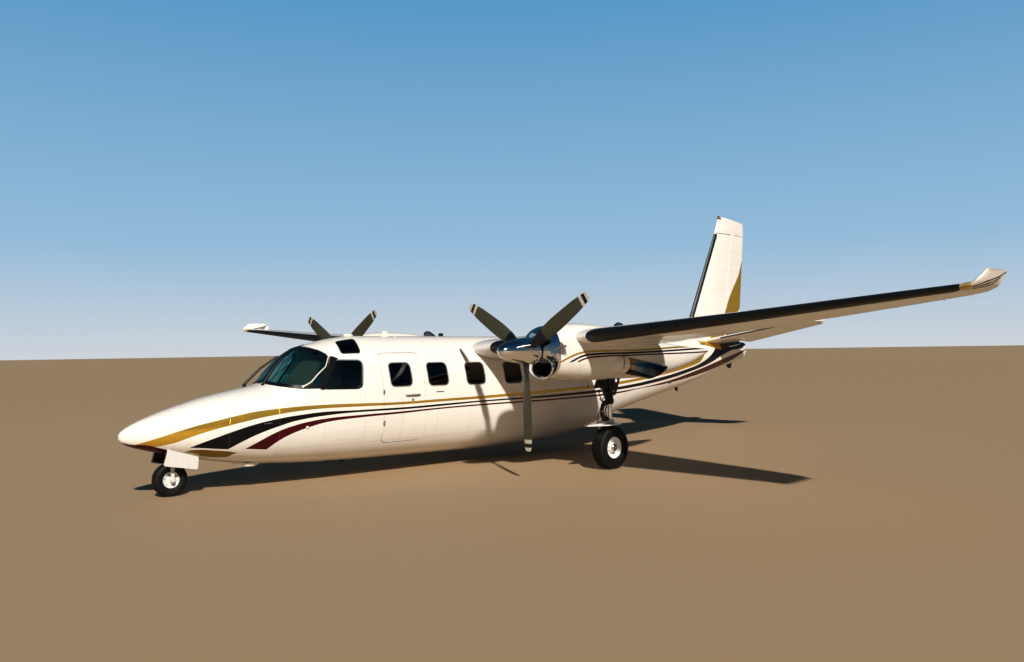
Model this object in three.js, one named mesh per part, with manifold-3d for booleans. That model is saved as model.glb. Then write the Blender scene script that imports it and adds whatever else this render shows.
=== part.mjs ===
// High-wing twin turboprop aircraft, parked on its gear.
// Millimetres. +X points to the nose, +Y to the left wing tip, +Z up. The ground is z = 0.
import * as THREE from "three";
import { mergeVertices } from "three/addons/utils/BufferGeometryUtils.js";
import Module from "manifold-3d";

const wasm = await Module();
wasm.setup();

// Driving dimensions of the whole aircraft
const noseX = 6550;
const tailX = -6550;
const wallThickness = 50;
const seamGap = 0.4;
const movingGap = 8;

const wheelbase = 5380;
const track = 4700;
const noseGearX = 5955;
const mainGearX = noseGearX - wheelbase;
const nacelleY = track / 2;
const mainTyreRadius = 305;
const noseTyreRadius = 203;

const propellerRadius = 1312;
const propellerX = 2190;
const propellerZ = 1704;
const bladeCount = 3;
const bladePhase = 180.7;

// Materials, one for each finish
const finish = {
  paint: new THREE.MeshStandardMaterial({ color: 0xf2eee4, roughness: 0.3, metalness: 0.1 }),
  chrome: new THREE.MeshStandardMaterial({ color: 0xd8dce0, roughness: 0.08, metalness: 1 }),
  blade: new THREE.MeshStandardMaterial({ color: 0x4a4a40, roughness: 0.45, metalness: 0.3 }),
  steel: new THREE.MeshStandardMaterial({ color: 0x5a5754, roughness: 0.4, metalness: 0.8 }),
  gear: new THREE.MeshStandardMaterial({ color: 0x8d9093, roughness: 0.45, metalness: 0.6 }),
  hub: new THREE.MeshStandardMaterial({ color: 0xf0f0ec, roughness: 0.35, metalness: 0.2 }),
  tyre: new THREE.MeshStandardMaterial({ color: 0x17171a, roughness: 0.9, metalness: 0 }),
  glass: new THREE.MeshStandardMaterial({
    color: 0x2f4448,
    roughness: 0.05,
    metalness: 0,
    transparent: true,
    opacity: 0.45,
  }),
  panel: new THREE.MeshStandardMaterial({ color: 0x2a2b2e, roughness: 0.8, metalness: 0 }),
  carpet: new THREE.MeshStandardMaterial({ color: 0x6b5a48, roughness: 0.95, metalness: 0 }),
  leather: new THREE.MeshStandardMaterial({ color: 0xb59a78, roughness: 0.6, metalness: 0 }),
};

// Turns a closed geometry into a solid, facing out
function solidOf(geometry) {
  const bare = geometry.clone();
  bare.deleteAttribute("normal");
  bare.deleteAttribute("uv");
  const merged = mergeVertices(bare, 1e-3);
  const place = merged.getAttribute("position").array;
  const faces = [];
  const index = merged.index.array;
  let volume = 0;
  const corner = (i) => new THREE.Vector3(place[3 * i], place[3 * i + 1], place[3 * i + 2]);
  for (let i = 0; i < index.length; i += 3) {
    const [a, b, c] = [index[i], index[i + 1], index[i + 2]];
    if (a === b || b === c || c === a) continue;
    faces.push([a, b, c]);
    volume += corner(a).dot(corner(b).cross(corner(c)));
  }
  if (volume < 0) faces.forEach((face) => face.reverse());
  const mesh = new wasm.Mesh({
    numProp: 3,
    vertProperties: new Float32Array(place),
    triVerts: new Uint32Array(faces.flat()),
  });
  return new wasm.Manifold(mesh);
}

function geometryOf(solid) {
  const mesh = solid.getMesh();
  const geometry = new THREE.BufferGeometry();
  const place = new Float32Array(mesh.numVert * 3);
  for (let i = 0; i < mesh.numVert; i += 1) {
    const start = i * mesh.numProp;
    place.set(mesh.vertProperties.subarray(start, start + 3), i * 3);
  }
  geometry.setAttribute("position", new THREE.BufferAttribute(place, 3));
  geometry.setIndex(new THREE.BufferAttribute(mesh.triVerts, 1));
  geometry.computeVertexNormals();
  return geometry;
}

const largestBody = (solid) =>
  solid.decompose().reduce((best, body) => (body.volume() > best.volume() ? body : best));

const joined = (...solids) => solids.reduce((sum, solid) => sum.add(solid));

// Skins a list of rings that have the same even number of points, and closes both ends.
// Each four-sided face is split along its shorter diagonal, so that both sides of the aircraft match.
function loft(rings) {
  const count = rings[0].length;
  const faces = [];
  const points = rings.flat();
  const quad = (a, b, c, d) => {
    const first = points[a].distanceTo(points[c]);
    const second = points[b].distanceTo(points[d]);
    if (first < second + 1e-3) faces.push(a, b, c, a, c, d);
    else faces.push(a, b, d, b, c, d);
  };
  for (let i = 0; i + 1 < rings.length; i += 1) {
    for (let j = 0; j < count; j += 1) {
      const next = (j + 1) % count;
      quad(i * count + j, i * count + next, (i + 1) * count + next, (i + 1) * count + j);
    }
  }
  const last = (rings.length - 1) * count;
  for (let j = 0; j < count / 2 - 1; j += 1) {
    quad(j, count - 1 - j, count - 2 - j, j + 1);
    quad(last + j, last + j + 1, last + count - 2 - j, last + count - 1 - j);
  }
  const geometry = new THREE.BufferGeometry();
  const place = points.flatMap((p) => [p.x, p.y, p.z]);
  geometry.setAttribute("position", new THREE.Float32BufferAttribute(place, 3));
  geometry.setIndex(faces);
  return solidOf(geometry);
}

function boxBetween(low, high) {
  const size = high.map((value, i) => value - low[i]);
  const middle = high.map((value, i) => (value + low[i]) / 2);
  return solidOf(new THREE.BoxGeometry(...size).translate(...middle));
}

// A cylinder or cone from one point to another
function rod(from, to, fromRadius, toRadius = fromRadius, sides = 16) {
  const start = new THREE.Vector3(...from);
  const end = new THREE.Vector3(...to);
  const along = end.clone().sub(start);
  const length = along.length();
  const turn = new THREE.Quaternion().setFromUnitVectors(
    new THREE.Vector3(0, 1, 0),
    along.normalize(),
  );
  const middle = start.add(end).multiplyScalar(0.5);
  const geometry = new THREE.CylinderGeometry(toRadius, fromRadius, length, sides);
  return solidOf(geometry.applyQuaternion(turn).translate(middle.x, middle.y, middle.z));
}

// Turns a closed profile of [radius, offset] points about the Y axis, with a flat at the bottom
function turned(profile, sides) {
  const points = profile.map(([radius, offset]) => new THREE.Vector2(radius, offset));
  return solidOf(new THREE.LatheGeometry(points, sides, Math.PI / sides));
}

// Extrudes an outline of [a, b] points: across Y from the side view, or up Z from the plan view
function sidePrism(outline, fromY, toY) {
  const shape = new THREE.Shape(outline.map(([x, z]) => new THREE.Vector2(x, z)));
  const geometry = new THREE.ExtrudeGeometry(shape, {
    depth: toY - fromY,
    bevelEnabled: false,
    curveSegments: 6,
  });
  return solidOf(geometry.rotateX(Math.PI / 2).translate(0, toY, 0));
}

function planPrism(outline, fromZ, toZ) {
  const shape = new THREE.Shape(outline.map(([x, y]) => new THREE.Vector2(x, y)));
  const geometry = new THREE.ExtrudeGeometry(shape, { depth: toZ - fromZ, bevelEnabled: false });
  return solidOf(geometry.translate(0, 0, fromZ));
}

// Points of a polygon whose corners are rounded with arcs
function roundedOutline(corners, radius, steps = 2) {
  const points = [];
  corners.forEach((corner, i) => {
    const here = new THREE.Vector2(...corner);
    const before = new THREE.Vector2(...corners[(i + corners.length - 1) % corners.length]);
    const after = new THREE.Vector2(...corners[(i + 1) % corners.length]);
    const start = before.clone().sub(here).setLength(radius).add(here);
    const end = after.clone().sub(here).setLength(radius).add(here);
    const curve = new THREE.QuadraticBezierCurve(start, here, end);
    curve.getPoints(steps).forEach((p) => points.push([p.x, p.y]));
  });
  return points;
}

// An outline moved inwards by about the given gap, by scaling it about its middle
function inset(outline, gap) {
  const xs = outline.map((p) => p[0]);
  const ys = outline.map((p) => p[1]);
  const middle = [(Math.min(...xs) + Math.max(...xs)) / 2, (Math.min(...ys) + Math.max(...ys)) / 2];
  const half = [(Math.max(...xs) - Math.min(...xs)) / 2, (Math.max(...ys) - Math.min(...ys)) / 2];
  return outline.map((p) => p.map((v, k) => middle[k] + ((v - middle[k]) * (half[k] - gap)) / half[k]));
}

// Straight lines through one column of a table whose first column only falls or only rises
function column(table, key) {
  const rows = [...table].sort((a, b) => a[0] - b[0]);
  return (at) => {
    let i = 0;
    while (i < rows.length - 2 && at > rows[i + 1][0]) i += 1;
    const [a, b] = [rows[i], rows[i + 1]];
    return a[key] + ((b[key] - a[key]) * (at - a[0])) / (b[0] - a[0]);
  };
}

// The ring of a rounded section, wide at height zWide, seen along X
function sectionRing(x, y, zTop, zBottom, halfWidth, zWide, topPower, bottomPower, sides) {
  const ring = [];
  for (let i = 0; i < sides; i += 1) {
    const angle = ((i + 0.5) * 2 * Math.PI) / sides;
    const [c, s] = [Math.cos(angle), Math.sin(angle)];
    const power = s > 0 ? topPower : bottomPower;
    const height = s > 0 ? zTop - zWide : zWide - zBottom;
    const across = Math.sign(c) * Math.abs(c) ** (2 / power) * halfWidth;
    const up = Math.sign(s) * Math.abs(s) ** (2 / power) * height;
    ring.push(new THREE.Vector3(x, y + across, zWide + up));
  }
  return ring;
}

// Fuselage sections: station x, top z, bottom z, half width, z of the greatest width
const fuselageTable = [
  [6550, 765, 745, 10, 755],
  [6460, 865, 655, 100, 755],
  [6180, 990, 560, 235, 765],
  [5820, 1105, 475, 365, 790],
  [5450, 1200, 385, 475, 820],
  [5070, 1270, 325, 555, 850],
  [4800, 1325, 292, 600, 875],
  [4720, 1385, 288, 608, 882],
  [4600, 1535, 278, 622, 893],
  [4450, 1685, 266, 640, 907],
  [4300, 1782, 256, 655, 920],
  [4100, 1842, 246, 669, 934],
  [3650, 1932, 230, 692, 956],
  [3400, 1953, 222, 700, 970],
  [2900, 1951, 212, 705, 980],
  [1000, 1945, 185, 705, 980],
  [0, 1940, 190, 700, 980],
  [-900, 1935, 300, 685, 1020],
  [-1970, 1920, 575, 620, 1120],
  [-3150, 1900, 800, 500, 1250],
  [-4450, 1880, 1030, 340, 1420],
  [-5410, 1860, 1270, 210, 1570],
  [-6100, 1840, 1400, 130, 1690],
  [-6550, 1800, 1545, 60, 1690],
];
const fuselageSides = 24;
const fuselagePower = { top: 2.25, bottom: 2.4 };
const fuselage = {
  top: column(fuselageTable, 1),
  bottom: column(fuselageTable, 2),
  halfWidth: column(fuselageTable, 3),
  wide: column(fuselageTable, 4),
};

// The fuselage's outer form between two stations, grown or shrunk by an even amount
function hull(fromX, toX, grow = 0) {
  const stations = fuselageTable.map((row) => row[0]).filter((x) => x > fromX + 1 && x < toX - 1);
  const rings = [toX, ...stations, fromX].map((x) =>
    sectionRing(
      x,
      0,
      fuselage.top(x) + grow,
      fuselage.bottom(x) - grow,
      fuselage.halfWidth(x) + grow,
      fuselage.wide(x),
      fuselagePower.top,
      fuselagePower.bottom,
      fuselageSides,
    ),
  );
  return loft(rings);
}

// Half width of the skin at a station and height
function skinY(x, z) {
  const wide = fuselage.wide(x);
  const above = z > wide;
  const height = above ? fuselage.top(x) - wide : wide - fuselage.bottom(x);
  const power = above ? fuselagePower.top : fuselagePower.bottom;
  const share = Math.min(1, Math.abs(z - wide) / height);
  return fuselage.halfWidth(x) * (1 - share ** power) ** (1 / power);
}

const shell = (fromX, toX, outer, inner) => hull(fromX, toX, outer).subtract(hull(fromX - 5, toX + 5, inner));

// Where the fuselage is split, at the real production joints
const radomeX = 6150;
const cabinFrontX = 4950;
const cabinRearX = -900;
const bulkhead = 60;
const sideReach = 1000;

// Flush openings in the cabin wall, in the side view or in the plan view
const windowHeight = 330;
const windowWidth = 360;
const windowCorner = 80;
// Cabin windows from front to rear: x and z of the middle. The first one is in the door on the left side.
const windowTable = [
  [3007, 1401],
  [2366, 1391],
  [1668, 1381],
  [919, 1370],
];
function windowOutline([x, z]) {
  const [fromX, toX] = [x - windowWidth / 2, x + windowWidth / 2];
  const [fromZ, toZ] = [z - windowHeight / 2, z + windowHeight / 2];
  const corners = [
    [fromX, fromZ],
    [toX, fromZ],
    [toX, toZ],
    [fromX, toZ],
  ];
  return roundedOutline(corners, windowCorner);
}
const cockpitWindowOutline = roundedOutline(
  [
    [4185, 1250],
    [3640, 1236],
    [3568, 1612],
    [3936, 1622],
  ],
  45,
);
const eyebrowOutline = roundedOutline(
  [
    [3824, 452],
    [3796, 252],
    [3528, 250],
    [3560, 482],
  ],
  30,
);
// Windscreen: its lower edge and centre post seen from the front, its rear and top edges from the side
const windscreenFront = [
  [22, 1900],
  [22, 1342],
  [170, 1325],
  [330, 1306],
  [490, 1284],
  [590, 1257],
  [720, 1250],
  [720, 1900],
];
const windscreenSide = [
  [4235, 1240],
  [4950, 1240],
  [4950, 1850],
  [4250, 1850],
  [4215, 1808],
  [4106, 1757],
  [4040, 1705],
  [4020, 1655],
];
const paneDepth = 6;
const paneThickness = 8;

function frontPrism(outline, fromX, toX) {
  const shape = new THREE.Shape(outline.map(([y, z]) => new THREE.Vector2(y, z)));
  const geometry = new THREE.ExtrudeGeometry(shape, { depth: toX - fromX, bevelEnabled: false });
  return solidOf(geometry.rotateX(Math.PI / 2).rotateZ(Math.PI / 2).translate(fromX, 0, 0));
}
const windscreenCut = (gap) =>
  frontPrism(inset(windscreenFront, gap), 3900, 4940).intersect(
    sidePrism(inset(windscreenSide, gap), 0, 800),
  );

const mirrored = (solid) => solid.mirror([0, 1, 0]);

// Cabin door in the left wall, hung at its front edge on a vertical line just outside the skin.
// Its rear edge is tapered, so that the inner corners swing out clear of the frame.
const door = {
  frontX: 3318,
  rearX: 2612,
  bottomZ: 462,
  topZ: 1706,
  corner: 90,
  hingeY: 716,
  innerY: 300,
  outerY: 900,
};
function doorBlock(gap) {
  const { frontX, rearX, bottomZ, topZ, corner } = door;
  const low = bottomZ + gap;
  const high = topZ - gap;
  const levels = [];
  const drawnIn = (t) => corner * (1 - Math.sqrt(1 - (1 - t) ** 2));
  const cornerSteps = [0, 0.25, 0.6, 1];
  cornerSteps.forEach((t) => levels.push([low + corner * t, drawnIn(t)]));
  for (let z = low + 200; z < high - 150; z += 200) levels.push([z, 0]);
  cornerSteps.reverse().forEach((t) => levels.push([high - corner * t, drawnIn(t)]));
  const rings = levels.map(([z, drawIn]) => {
    const skin = skinY((frontX + rearX) / 2, z);
    const taper = (door.hingeY - skin + 2 * wallThickness) / (frontX - rearX);
    const front = frontX - gap - drawIn;
    const rear = rearX + gap + drawIn;
    return [
      new THREE.Vector3(front, door.outerY, z),
      new THREE.Vector3(rear - taper * (door.outerY - skin), door.outerY, z),
      new THREE.Vector3(rear - taper * (door.innerY - skin), door.innerY, z),
      new THREE.Vector3(front, door.innerY, z),
    ];
  });
  return loft(rings);
}

// Two door hinges, each a knuckle on the shell whose pin stands in the knuckle of the door above it
const doorHinge = { x: door.frontX + 0.2, radius: 11, arm: 42, height: 40, insideY: 672, gap: 1 };
const doorPin = { radius: 5, length: 30, clearance: 0.45 };
const doorHingeZ = [760, 1180];
const doorRod = (fromZ, toZ, radius) =>
  rod([doorHinge.x, door.hingeY, fromZ], [doorHinge.x, door.hingeY, toZ], radius, radius, 12);
function doorKnuckle(z, side) {
  const { x, radius, arm, height, insideY } = doorHinge;
  const near = side > 0 ? x + 1 : x - arm;
  const far = side > 0 ? x + arm : x - 3;
  const lug = boxBetween([near, insideY, z], [far, door.hingeY + 4, z + height]);
  return doorRod(z, z + height, radius).add(lug);
}
function shellKnuckle(z) {
  const top = z + doorHinge.height;
  return doorKnuckle(z, 1).add(doorRod(top - 5, top + doorHinge.gap + doorPin.length, doorPin.radius));
}
function leafKnuckle(z) {
  const foot = z + doorHinge.height + doorHinge.gap;
  const bore = doorRod(foot - 1, foot + doorPin.length + 1, doorPin.radius + doorPin.clearance);
  return doorKnuckle(foot, -1).subtract(bore);
}

// Wing sections: y, leading edge x, chord, leading edge z, thickness share, cant and incidence in degrees
const wingTable = [
  [330, 1572, 2330, 1718, 0.145, 4, 2.6],
  [850, 1569, 2215, 1753, 0.142, 4, 2.6],
  [2350, 1564, 1890, 1854, 0.135, 4, 2.6],
  [4450, 1553, 1430, 1997, 0.125, 4, 2.5],
  [7200, 1539, 800, 2208, 0.115, 4, 1.7],
  [7480, 1552, 708, 2229, 0.11, 8, 1],
  [7590, 1580, 642, 2244, 0.1, 30, 0],
  [7640, 1570, 602, 2284, 0.09, 60, 0],
  [7685, 1462, 515, 2374, 0.08, 70, 0],
  [7697, 1436, 470, 2396, 0.07, 70, 0],
];
const foilSides = 18;
const foilCamber = 0.02;
const foilTrailing = 0.004;

// One foil section, trailing edge first, over the top, round the nose and back underneath
function foilRing(section) {
  const { x, y, z, chord, thickness, cant, camber = foilCamber, grow = 0, upright = false } = section;
  const drop = Math.sin(THREE.MathUtils.degToRad(section.incidence || 0));
  const ring = [];
  const half = foilSides / 2;
  const lean = THREE.MathUtils.degToRad(cant);
  for (let i = 0; i < foilSides; i += 1) {
    const over = i < half;
    const step = over ? i : foilSides - 1 - i;
    const s = 0.5 * (1 + Math.cos((Math.PI * step) / (half - 0.5)));
    const mean = camber * 4 * s * (1 - s);
    const away = halfThickness(thickness, s) + grow / chord;
    const lift = (mean + (over ? away : -away) - s * drop) * chord;
    const stretch = grow * (1 - 2 * s);
    if (upright) ring.push(new THREE.Vector3(x - s * chord + stretch, y + lift, z));
    else
      ring.push(
        new THREE.Vector3(x - s * chord + stretch, y - lift * Math.sin(lean), z + lift * Math.cos(lean)),
      );
  }
  return ring;
}

const wingAt = { x: 1, chord: 2, z: 3, thickness: 4, cant: 5, incidence: 6 };
function wingSection(y, grow = 0) {
  const section = { y, grow };
  Object.entries(wingAt).forEach(([name, key]) => {
    section[name] = column(wingTable, key)(y);
  });
  return foilRing(section);
}

const wingBody = (grow = 0) => loft(wingTable.map((row) => wingSection(row[0], grow)));

// Half the thickness of a foil at a share of its chord, as a share of the chord
const halfThickness = (thickness, s) =>
  5 * thickness * (0.2969 * Math.sqrt(s) - 0.126 * s - 0.3516 * s ** 2 + 0.2843 * s ** 3 - 0.1036 * s ** 4) +
  foilTrailing * s;

// A hinge line: its two ends on the middle of the foil, each with the radius of the surface's round nose
function surfaceHinge(table, ends, camber, upright = false) {
  return ends.map(([at, share]) => {
    const chord = column(table, 2)(at);
    const x = column(table, 1)(at) - share * chord;
    const radius = halfThickness(column(table, 4)(at), share) * chord;
    if (upright) return { point: new THREE.Vector3(x, 0, at), radius };
    const incidence = table === wingTable ? THREE.MathUtils.degToRad(column(table, 6)(at)) : 0;
    const rise = camber * 4 * share * (1 - share) - share * Math.sin(incidence);
    return { point: new THREE.Vector3(x, at, column(table, 3)(at) + rise * chord), radius };
  });
}

// The space aft of a hinge line, square to it, with a round front. It is grown by a gap all round.
function hingeZone([start, end], gap, noseGap) {
  const along = end.point.clone().sub(start.point).normalize();
  const a = start.point.clone().addScaledVector(along, -gap);
  const b = end.point.clone().addScaledVector(along, gap);
  const sides = 16;
  const reach = noseGap > 0 ? 1 / Math.cos(Math.PI / sides) : 1;
  const nose = rod(
    a.toArray(),
    b.toArray(),
    (start.radius + noseGap) * reach,
    (end.radius + noseGap) * reach,
    sides,
  );
  const aft = new THREE.Vector3(-1, 0, 0).addScaledVector(along, along.x).normalize();
  const up = new THREE.Vector3().crossVectors(along, aft).normalize();
  const deep = 1500;
  const tall = 400;
  const corners = (base) =>
    [
      [0, tall],
      [deep, tall],
      [deep, -tall],
      [0, -tall],
    ].map(([s, t]) => base.clone().addScaledVector(aft, s).addScaledVector(up, t));
  return { block: loft([corners(a), corners(b)]), nose };
}

// Hinge pins run on the hinge line from inside a surface into the rib next to its end
const hingePin = { radius: 8, root: 30, reach: 32, clearance: 0.45, endGap: 1 };
function pinsOf([start, end], fit = 0, endGap = 0) {
  const along = end.point.clone().sub(start.point).normalize();
  const pin = (from, sense) => {
    const inside = from.point.clone().addScaledVector(along, sense * hingePin.root);
    const outside = from.point.clone().addScaledVector(along, -sense * (hingePin.reach + endGap));
    const radius = hingePin.radius + fit;
    return rod(inside.toArray(), outside.toArray(), radius, radius, 12);
  };
  return [pin(start, 1), pin(end, -1)];
}

// Splits a body into what stays and a surface that turns about the hinge
function splitSurface(body, hinge) {
  const zone = hingeZone(hinge, 0, -seamGap);
  const space = hingeZone(hinge, movingGap, movingGap);
  const holes = pinsOf(hinge, hingePin.clearance, hingePin.endGap);
  return {
    fixed: body.subtract(space.block).subtract(space.nose).subtract(joined(...holes)),
    surface: joined(largestBody(body.intersect(zone.block).add(zone.nose)), ...pinsOf(hinge)),
  };
}

const flapShare = 0.74;
const aileronShare = 0.76;
const wingHinge = (fromY, toY, share) =>
  surfaceHinge(
    wingTable,
    [
      [fromY, share],
      [toY, share],
    ],
    foilCamber,
  );
const wingHinges = {
  flap_inner: wingHinge(800, 1980, flapShare),
  flap_outer: wingHinge(2720, 4410, flapShare),
  aileron: wingHinge(4500, 7120, aileronShare),
};

// Nacelle sections: station x, top z, bottom z, half width, z of the greatest width
const nacelleTable = [
  [2050, 1900, 1500, 190, 1690],
  [2020, 1955, 1420, 245, 1680],
  [1970, 1995, 1366, 285, 1660],
  [1900, 2025, 1337, 310, 1640],
  [1860, 2035, 1330, 320, 1635],
  [1600, 2060, 1308, 330, 1625],
  [1300, 2073, 1288, 335, 1620],
  [850, 2056, 1280, 330, 1615],
  [500, 2012, 1281, 320, 1605],
  [0, 1905, 1284, 300, 1590],
  [-600, 1800, 1335, 240, 1590],
  [-1200, 1740, 1450, 150, 1610],
  [-1800, 1690, 1640, 30, 1665],
];
const nacelleSides = 16;
const nacellePower = 2.5;
const firewallX = 850;
const cowlSeamX = 1860;
const cowlFrontX = 2050;
const cowlWall = 22;
const nacelleForm = {
  top: column(nacelleTable, 1),
  bottom: column(nacelleTable, 2),
  halfWidth: column(nacelleTable, 3),
  wide: column(nacelleTable, 4),
};
function nacelleBody(fromX, toX, grow = 0) {
  const stations = nacelleTable.map((row) => row[0]).filter((x) => x > fromX + 1 && x < toX - 1);
  return loft(
    [toX, ...stations, fromX].map((x) =>
      sectionRing(
        x,
        nacelleY,
        nacelleForm.top(x) + grow,
        nacelleForm.bottom(x) - grow,
        nacelleForm.halfWidth(x) + grow,
        nacelleForm.wide(x),
        nacellePower,
        nacellePower,
        nacelleSides,
      ),
    ),
  );
}

const root = new THREE.Group();
const rightSide = new THREE.Group();
rightSide.scale.y = -1;
root.add(rightSide);

function place(name, solid, material, group = root) {
  const mesh = new THREE.Mesh(geometryOf(solid), material);
  mesh.name = name;
  group.add(mesh);
}

function placePair(name, solid, material) {
  place(name + "_left", solid, material);
  place(name + "_right", solid, material, rightSide);
}

// Fuselage: nose cone, nose section with the wheel bay, cabin shell and tail section
const noseBay = boxBetween([5620, -130, 300], [6100, 130, 800]);
const noseJackPad = { x: 5300, radius: 40, z: 345 };
place("radome", hull(radomeX + seamGap, noseX), finish.paint);

const noseSection = hull(cabinFrontX + seamGap, radomeX)
  .subtract(noseBay)
  .subtract(boxBetween([5500, -110, 620], [5640, 110, 780]))
  .add(rod([noseJackPad.x, 0, 500], [noseJackPad.x, 0, noseJackPad.z], noseJackPad.radius));
place("nose_section", noseSection, finish.paint);

const windowCut = (row) => sidePrism(windowOutline(row), 0, sideReach);
const leftOpenings = [doorBlock(0), ...windowTable.slice(1).map(windowCut)];
const bothOpenings = [
  sidePrism(cockpitWindowOutline, 0, sideReach),
  planPrism(eyebrowOutline, 1500, 2100),
  windscreenCut(0),
];
const rightOpenings = windowTable.map((row) => mirrored(windowCut(row)));
let cabinShell = hull(cabinRearX + seamGap, cabinFrontX).subtract(
  hull(cabinRearX + bulkhead, cabinFrontX - 2 * bulkhead, -wallThickness),
);
[...leftOpenings, ...bothOpenings, ...bothOpenings.map(mirrored), ...rightOpenings].forEach((cut) => {
  cabinShell = cabinShell.subtract(cut);
});
cabinShell = joined(cabinShell, ...doorHingeZ.map(shellKnuckle));
place("cabin_shell", cabinShell, finish.paint);

const tailWall = 18;
const tailHollowRearX = -5900;
const tailSection = hull(tailX, cabinRearX).subtract(hull(tailHollowRearX, cabinRearX + 5, -tailWall));
place("tail_section", tailSection, finish.paint);

// Glass: thin curved panes in the cockpit, and double-glazed cabin windows carried by an inner strip
const thinPane = (fromX, toX) => shell(fromX, toX, -paneDepth, -paneDepth - paneThickness);
placePair(
  "windscreen",
  largestBody(thinPane(3950, 4940).intersect(windscreenCut(seamGap))),
  finish.glass,
);
placePair(
  "cockpit_window",
  largestBody(thinPane(3500, 4350).intersect(sidePrism(inset(cockpitWindowOutline, seamGap), 0, sideReach))),
  finish.glass,
);
placePair(
  "eyebrow_window",
  largestBody(thinPane(3450, 3900).intersect(planPrism(inset(eyebrowOutline, seamGap), 1500, 2100))),
  finish.glass,
);

const strip = { thickness: 6, margin: 20, fromZ: 1180, toZ: 1590 };
const paneCut = (row) => sidePrism(inset(windowOutline(row), seamGap), 0, sideReach);
function glazing(rows) {
  const fromX = rows[rows.length - 1][0] - windowWidth / 2 - strip.margin;
  const toX = rows[0][0] + windowWidth / 2 + strip.margin;
  const inner = -wallThickness - strip.thickness;
  const carrier = shell(fromX, toX, -wallThickness - seamGap, inner).intersect(
    boxBetween([fromX, 0, strip.fromZ], [toX, sideReach, strip.toZ]),
  );
  const panes = rows.map((row) =>
    shell(row[0] - windowWidth, row[0] + windowWidth, -paneDepth, inner).intersect(paneCut(row)),
  );
  return joined(carrier, ...panes);
}
place("cabin_glazing_left", glazing(windowTable.slice(1)), finish.glass);
place("cabin_glazing_right", glazing(windowTable), finish.glass, rightSide);

const doorPanel = shell(2300, 3600, 0, -wallThickness)
  .intersect(doorBlock(6))
  .subtract(windowCut(windowTable[0]));
place("cabin_door", joined(largestBody(doorPanel), ...doorHingeZ.map(leafKnuckle)), finish.paint);
const doorGlass = shell(2600, 3500, -paneDepth, -wallThickness + paneDepth);
place("door_window", largestBody(doorGlass.intersect(paneCut(windowTable[0]))), finish.glass);

// Cabin: floor, instrument panel and seats
const floorTop = 370;
const floorThickness = 30;
const floorFrontX = 4560;
const cabinInside = hull(cabinRearX + bulkhead + 1, cabinFrontX - 2 * bulkhead - 1, -wallThickness - seamGap);
place(
  "cabin_floor",
  cabinInside.intersect(
    boxBetween([cabinRearX + bulkhead + 20, -1000, floorTop - floorThickness], [floorFrontX, 1000, floorTop]),
  ),
  finish.carpet,
);

const panelOutline = [
  [4330, floorTop],
  [4520, floorTop],
  [4520, 1240],
  [4260, 1250],
  [4230, 1215],
  [4330, 1190],
];
const sidePanel = hull(3800, 4800, -wallThickness - 2);
place(
  "instrument_panel",
  sidePrism(panelOutline, -600, 600)
    .subtract(boxBetween([4200, -500, floorTop - 1], [4600, -110, 800]))
    .subtract(boxBetween([4200, 110, floorTop - 1], [4600, 500, 800]))
    .intersect(sidePanel),
  finish.panel,
);

// A seat: a narrow pedestal on the floor, then the cushion, back and headrest as one side outline
const seatOutline = [
  [-300, 560],
  [-400, 560],
  [-500, 1130],
  [-470, 1260],
  [-390, 1260],
  [-380, 1130],
  [-290, 760],
  [120, 770],
  [130, 600],
  [60, 560],
];
const pedestal = { front: 0, rear: -260, inner: 110, outer: 90 };
function seat(x, y, width, facing) {
  const outline = seatOutline.map(([along, z]) => [x + facing * along, z]);
  const ends = [x + facing * pedestal.front, x + facing * pedestal.rear];
  const base = boxBetween(
    [Math.min(...ends), y - pedestal.inner, floorTop],
    [Math.max(...ends), y + pedestal.outer, 600],
  );
  return sidePrism(outline, y - width / 2, y + width / 2).add(base);
}
placePair("crew_seat", seat(3830, 265, 390, 1), finish.leather);
placePair("cabin_seat", seat(2150, 290, 400, -1), finish.leather);
place("aft_bench", seat(520, 0, 900, 1), finish.leather);

// Wing with its tip, notched at the nacelle's engine bay, and its hinged surfaces
let wing = wingBody();
const surfaces = {};
Object.entries(wingHinges).forEach(([name, hinge]) => {
  surfaces[name] = splitSurface(wingBody(), hinge).surface;
  wing = splitSurface(wing, hinge).fixed;
});
wing = wing
  .subtract(hull(tailX, noseX, seamGap))
  .subtract(nacelleBody(firewallX - 2 * seamGap, cowlFrontX, seamGap));
placePair("wing", largestBody(wing), finish.paint);
placePair("flap_inner", surfaces.flap_inner, finish.paint);
placePair("flap_outer", surfaces.flap_outer, finish.paint);
placePair("aileron", surfaces.aileron, finish.paint);

// Nacelle: a shell round the engine bay, closed behind the firewall, with the gear bay below
const gearBay = boxBetween([mainGearX - 170, nacelleY - 120, 1200], [mainGearX + 170, nacelleY + 120, 1600]);
const jackPad = { x: 150, radius: 45, z: 1262 };
const wingAft = wingBody(seamGap).intersect(boxBetween([-3000, 0, 0], [firewallX - seamGap, 8000, 3000]));
const nacelle = nacelleBody(-1800, cowlSeamX)
  .subtract(nacelleBody(firewallX, cowlSeamX + 5, -cowlWall))
  .subtract(wingAft)
  .subtract(gearBay)
  .add(
    rod([jackPad.x, nacelleY, 1400], [jackPad.x, nacelleY, jackPad.z], jackPad.radius),
  );
placePair("nacelle", largestBody(nacelle), finish.paint);

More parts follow.
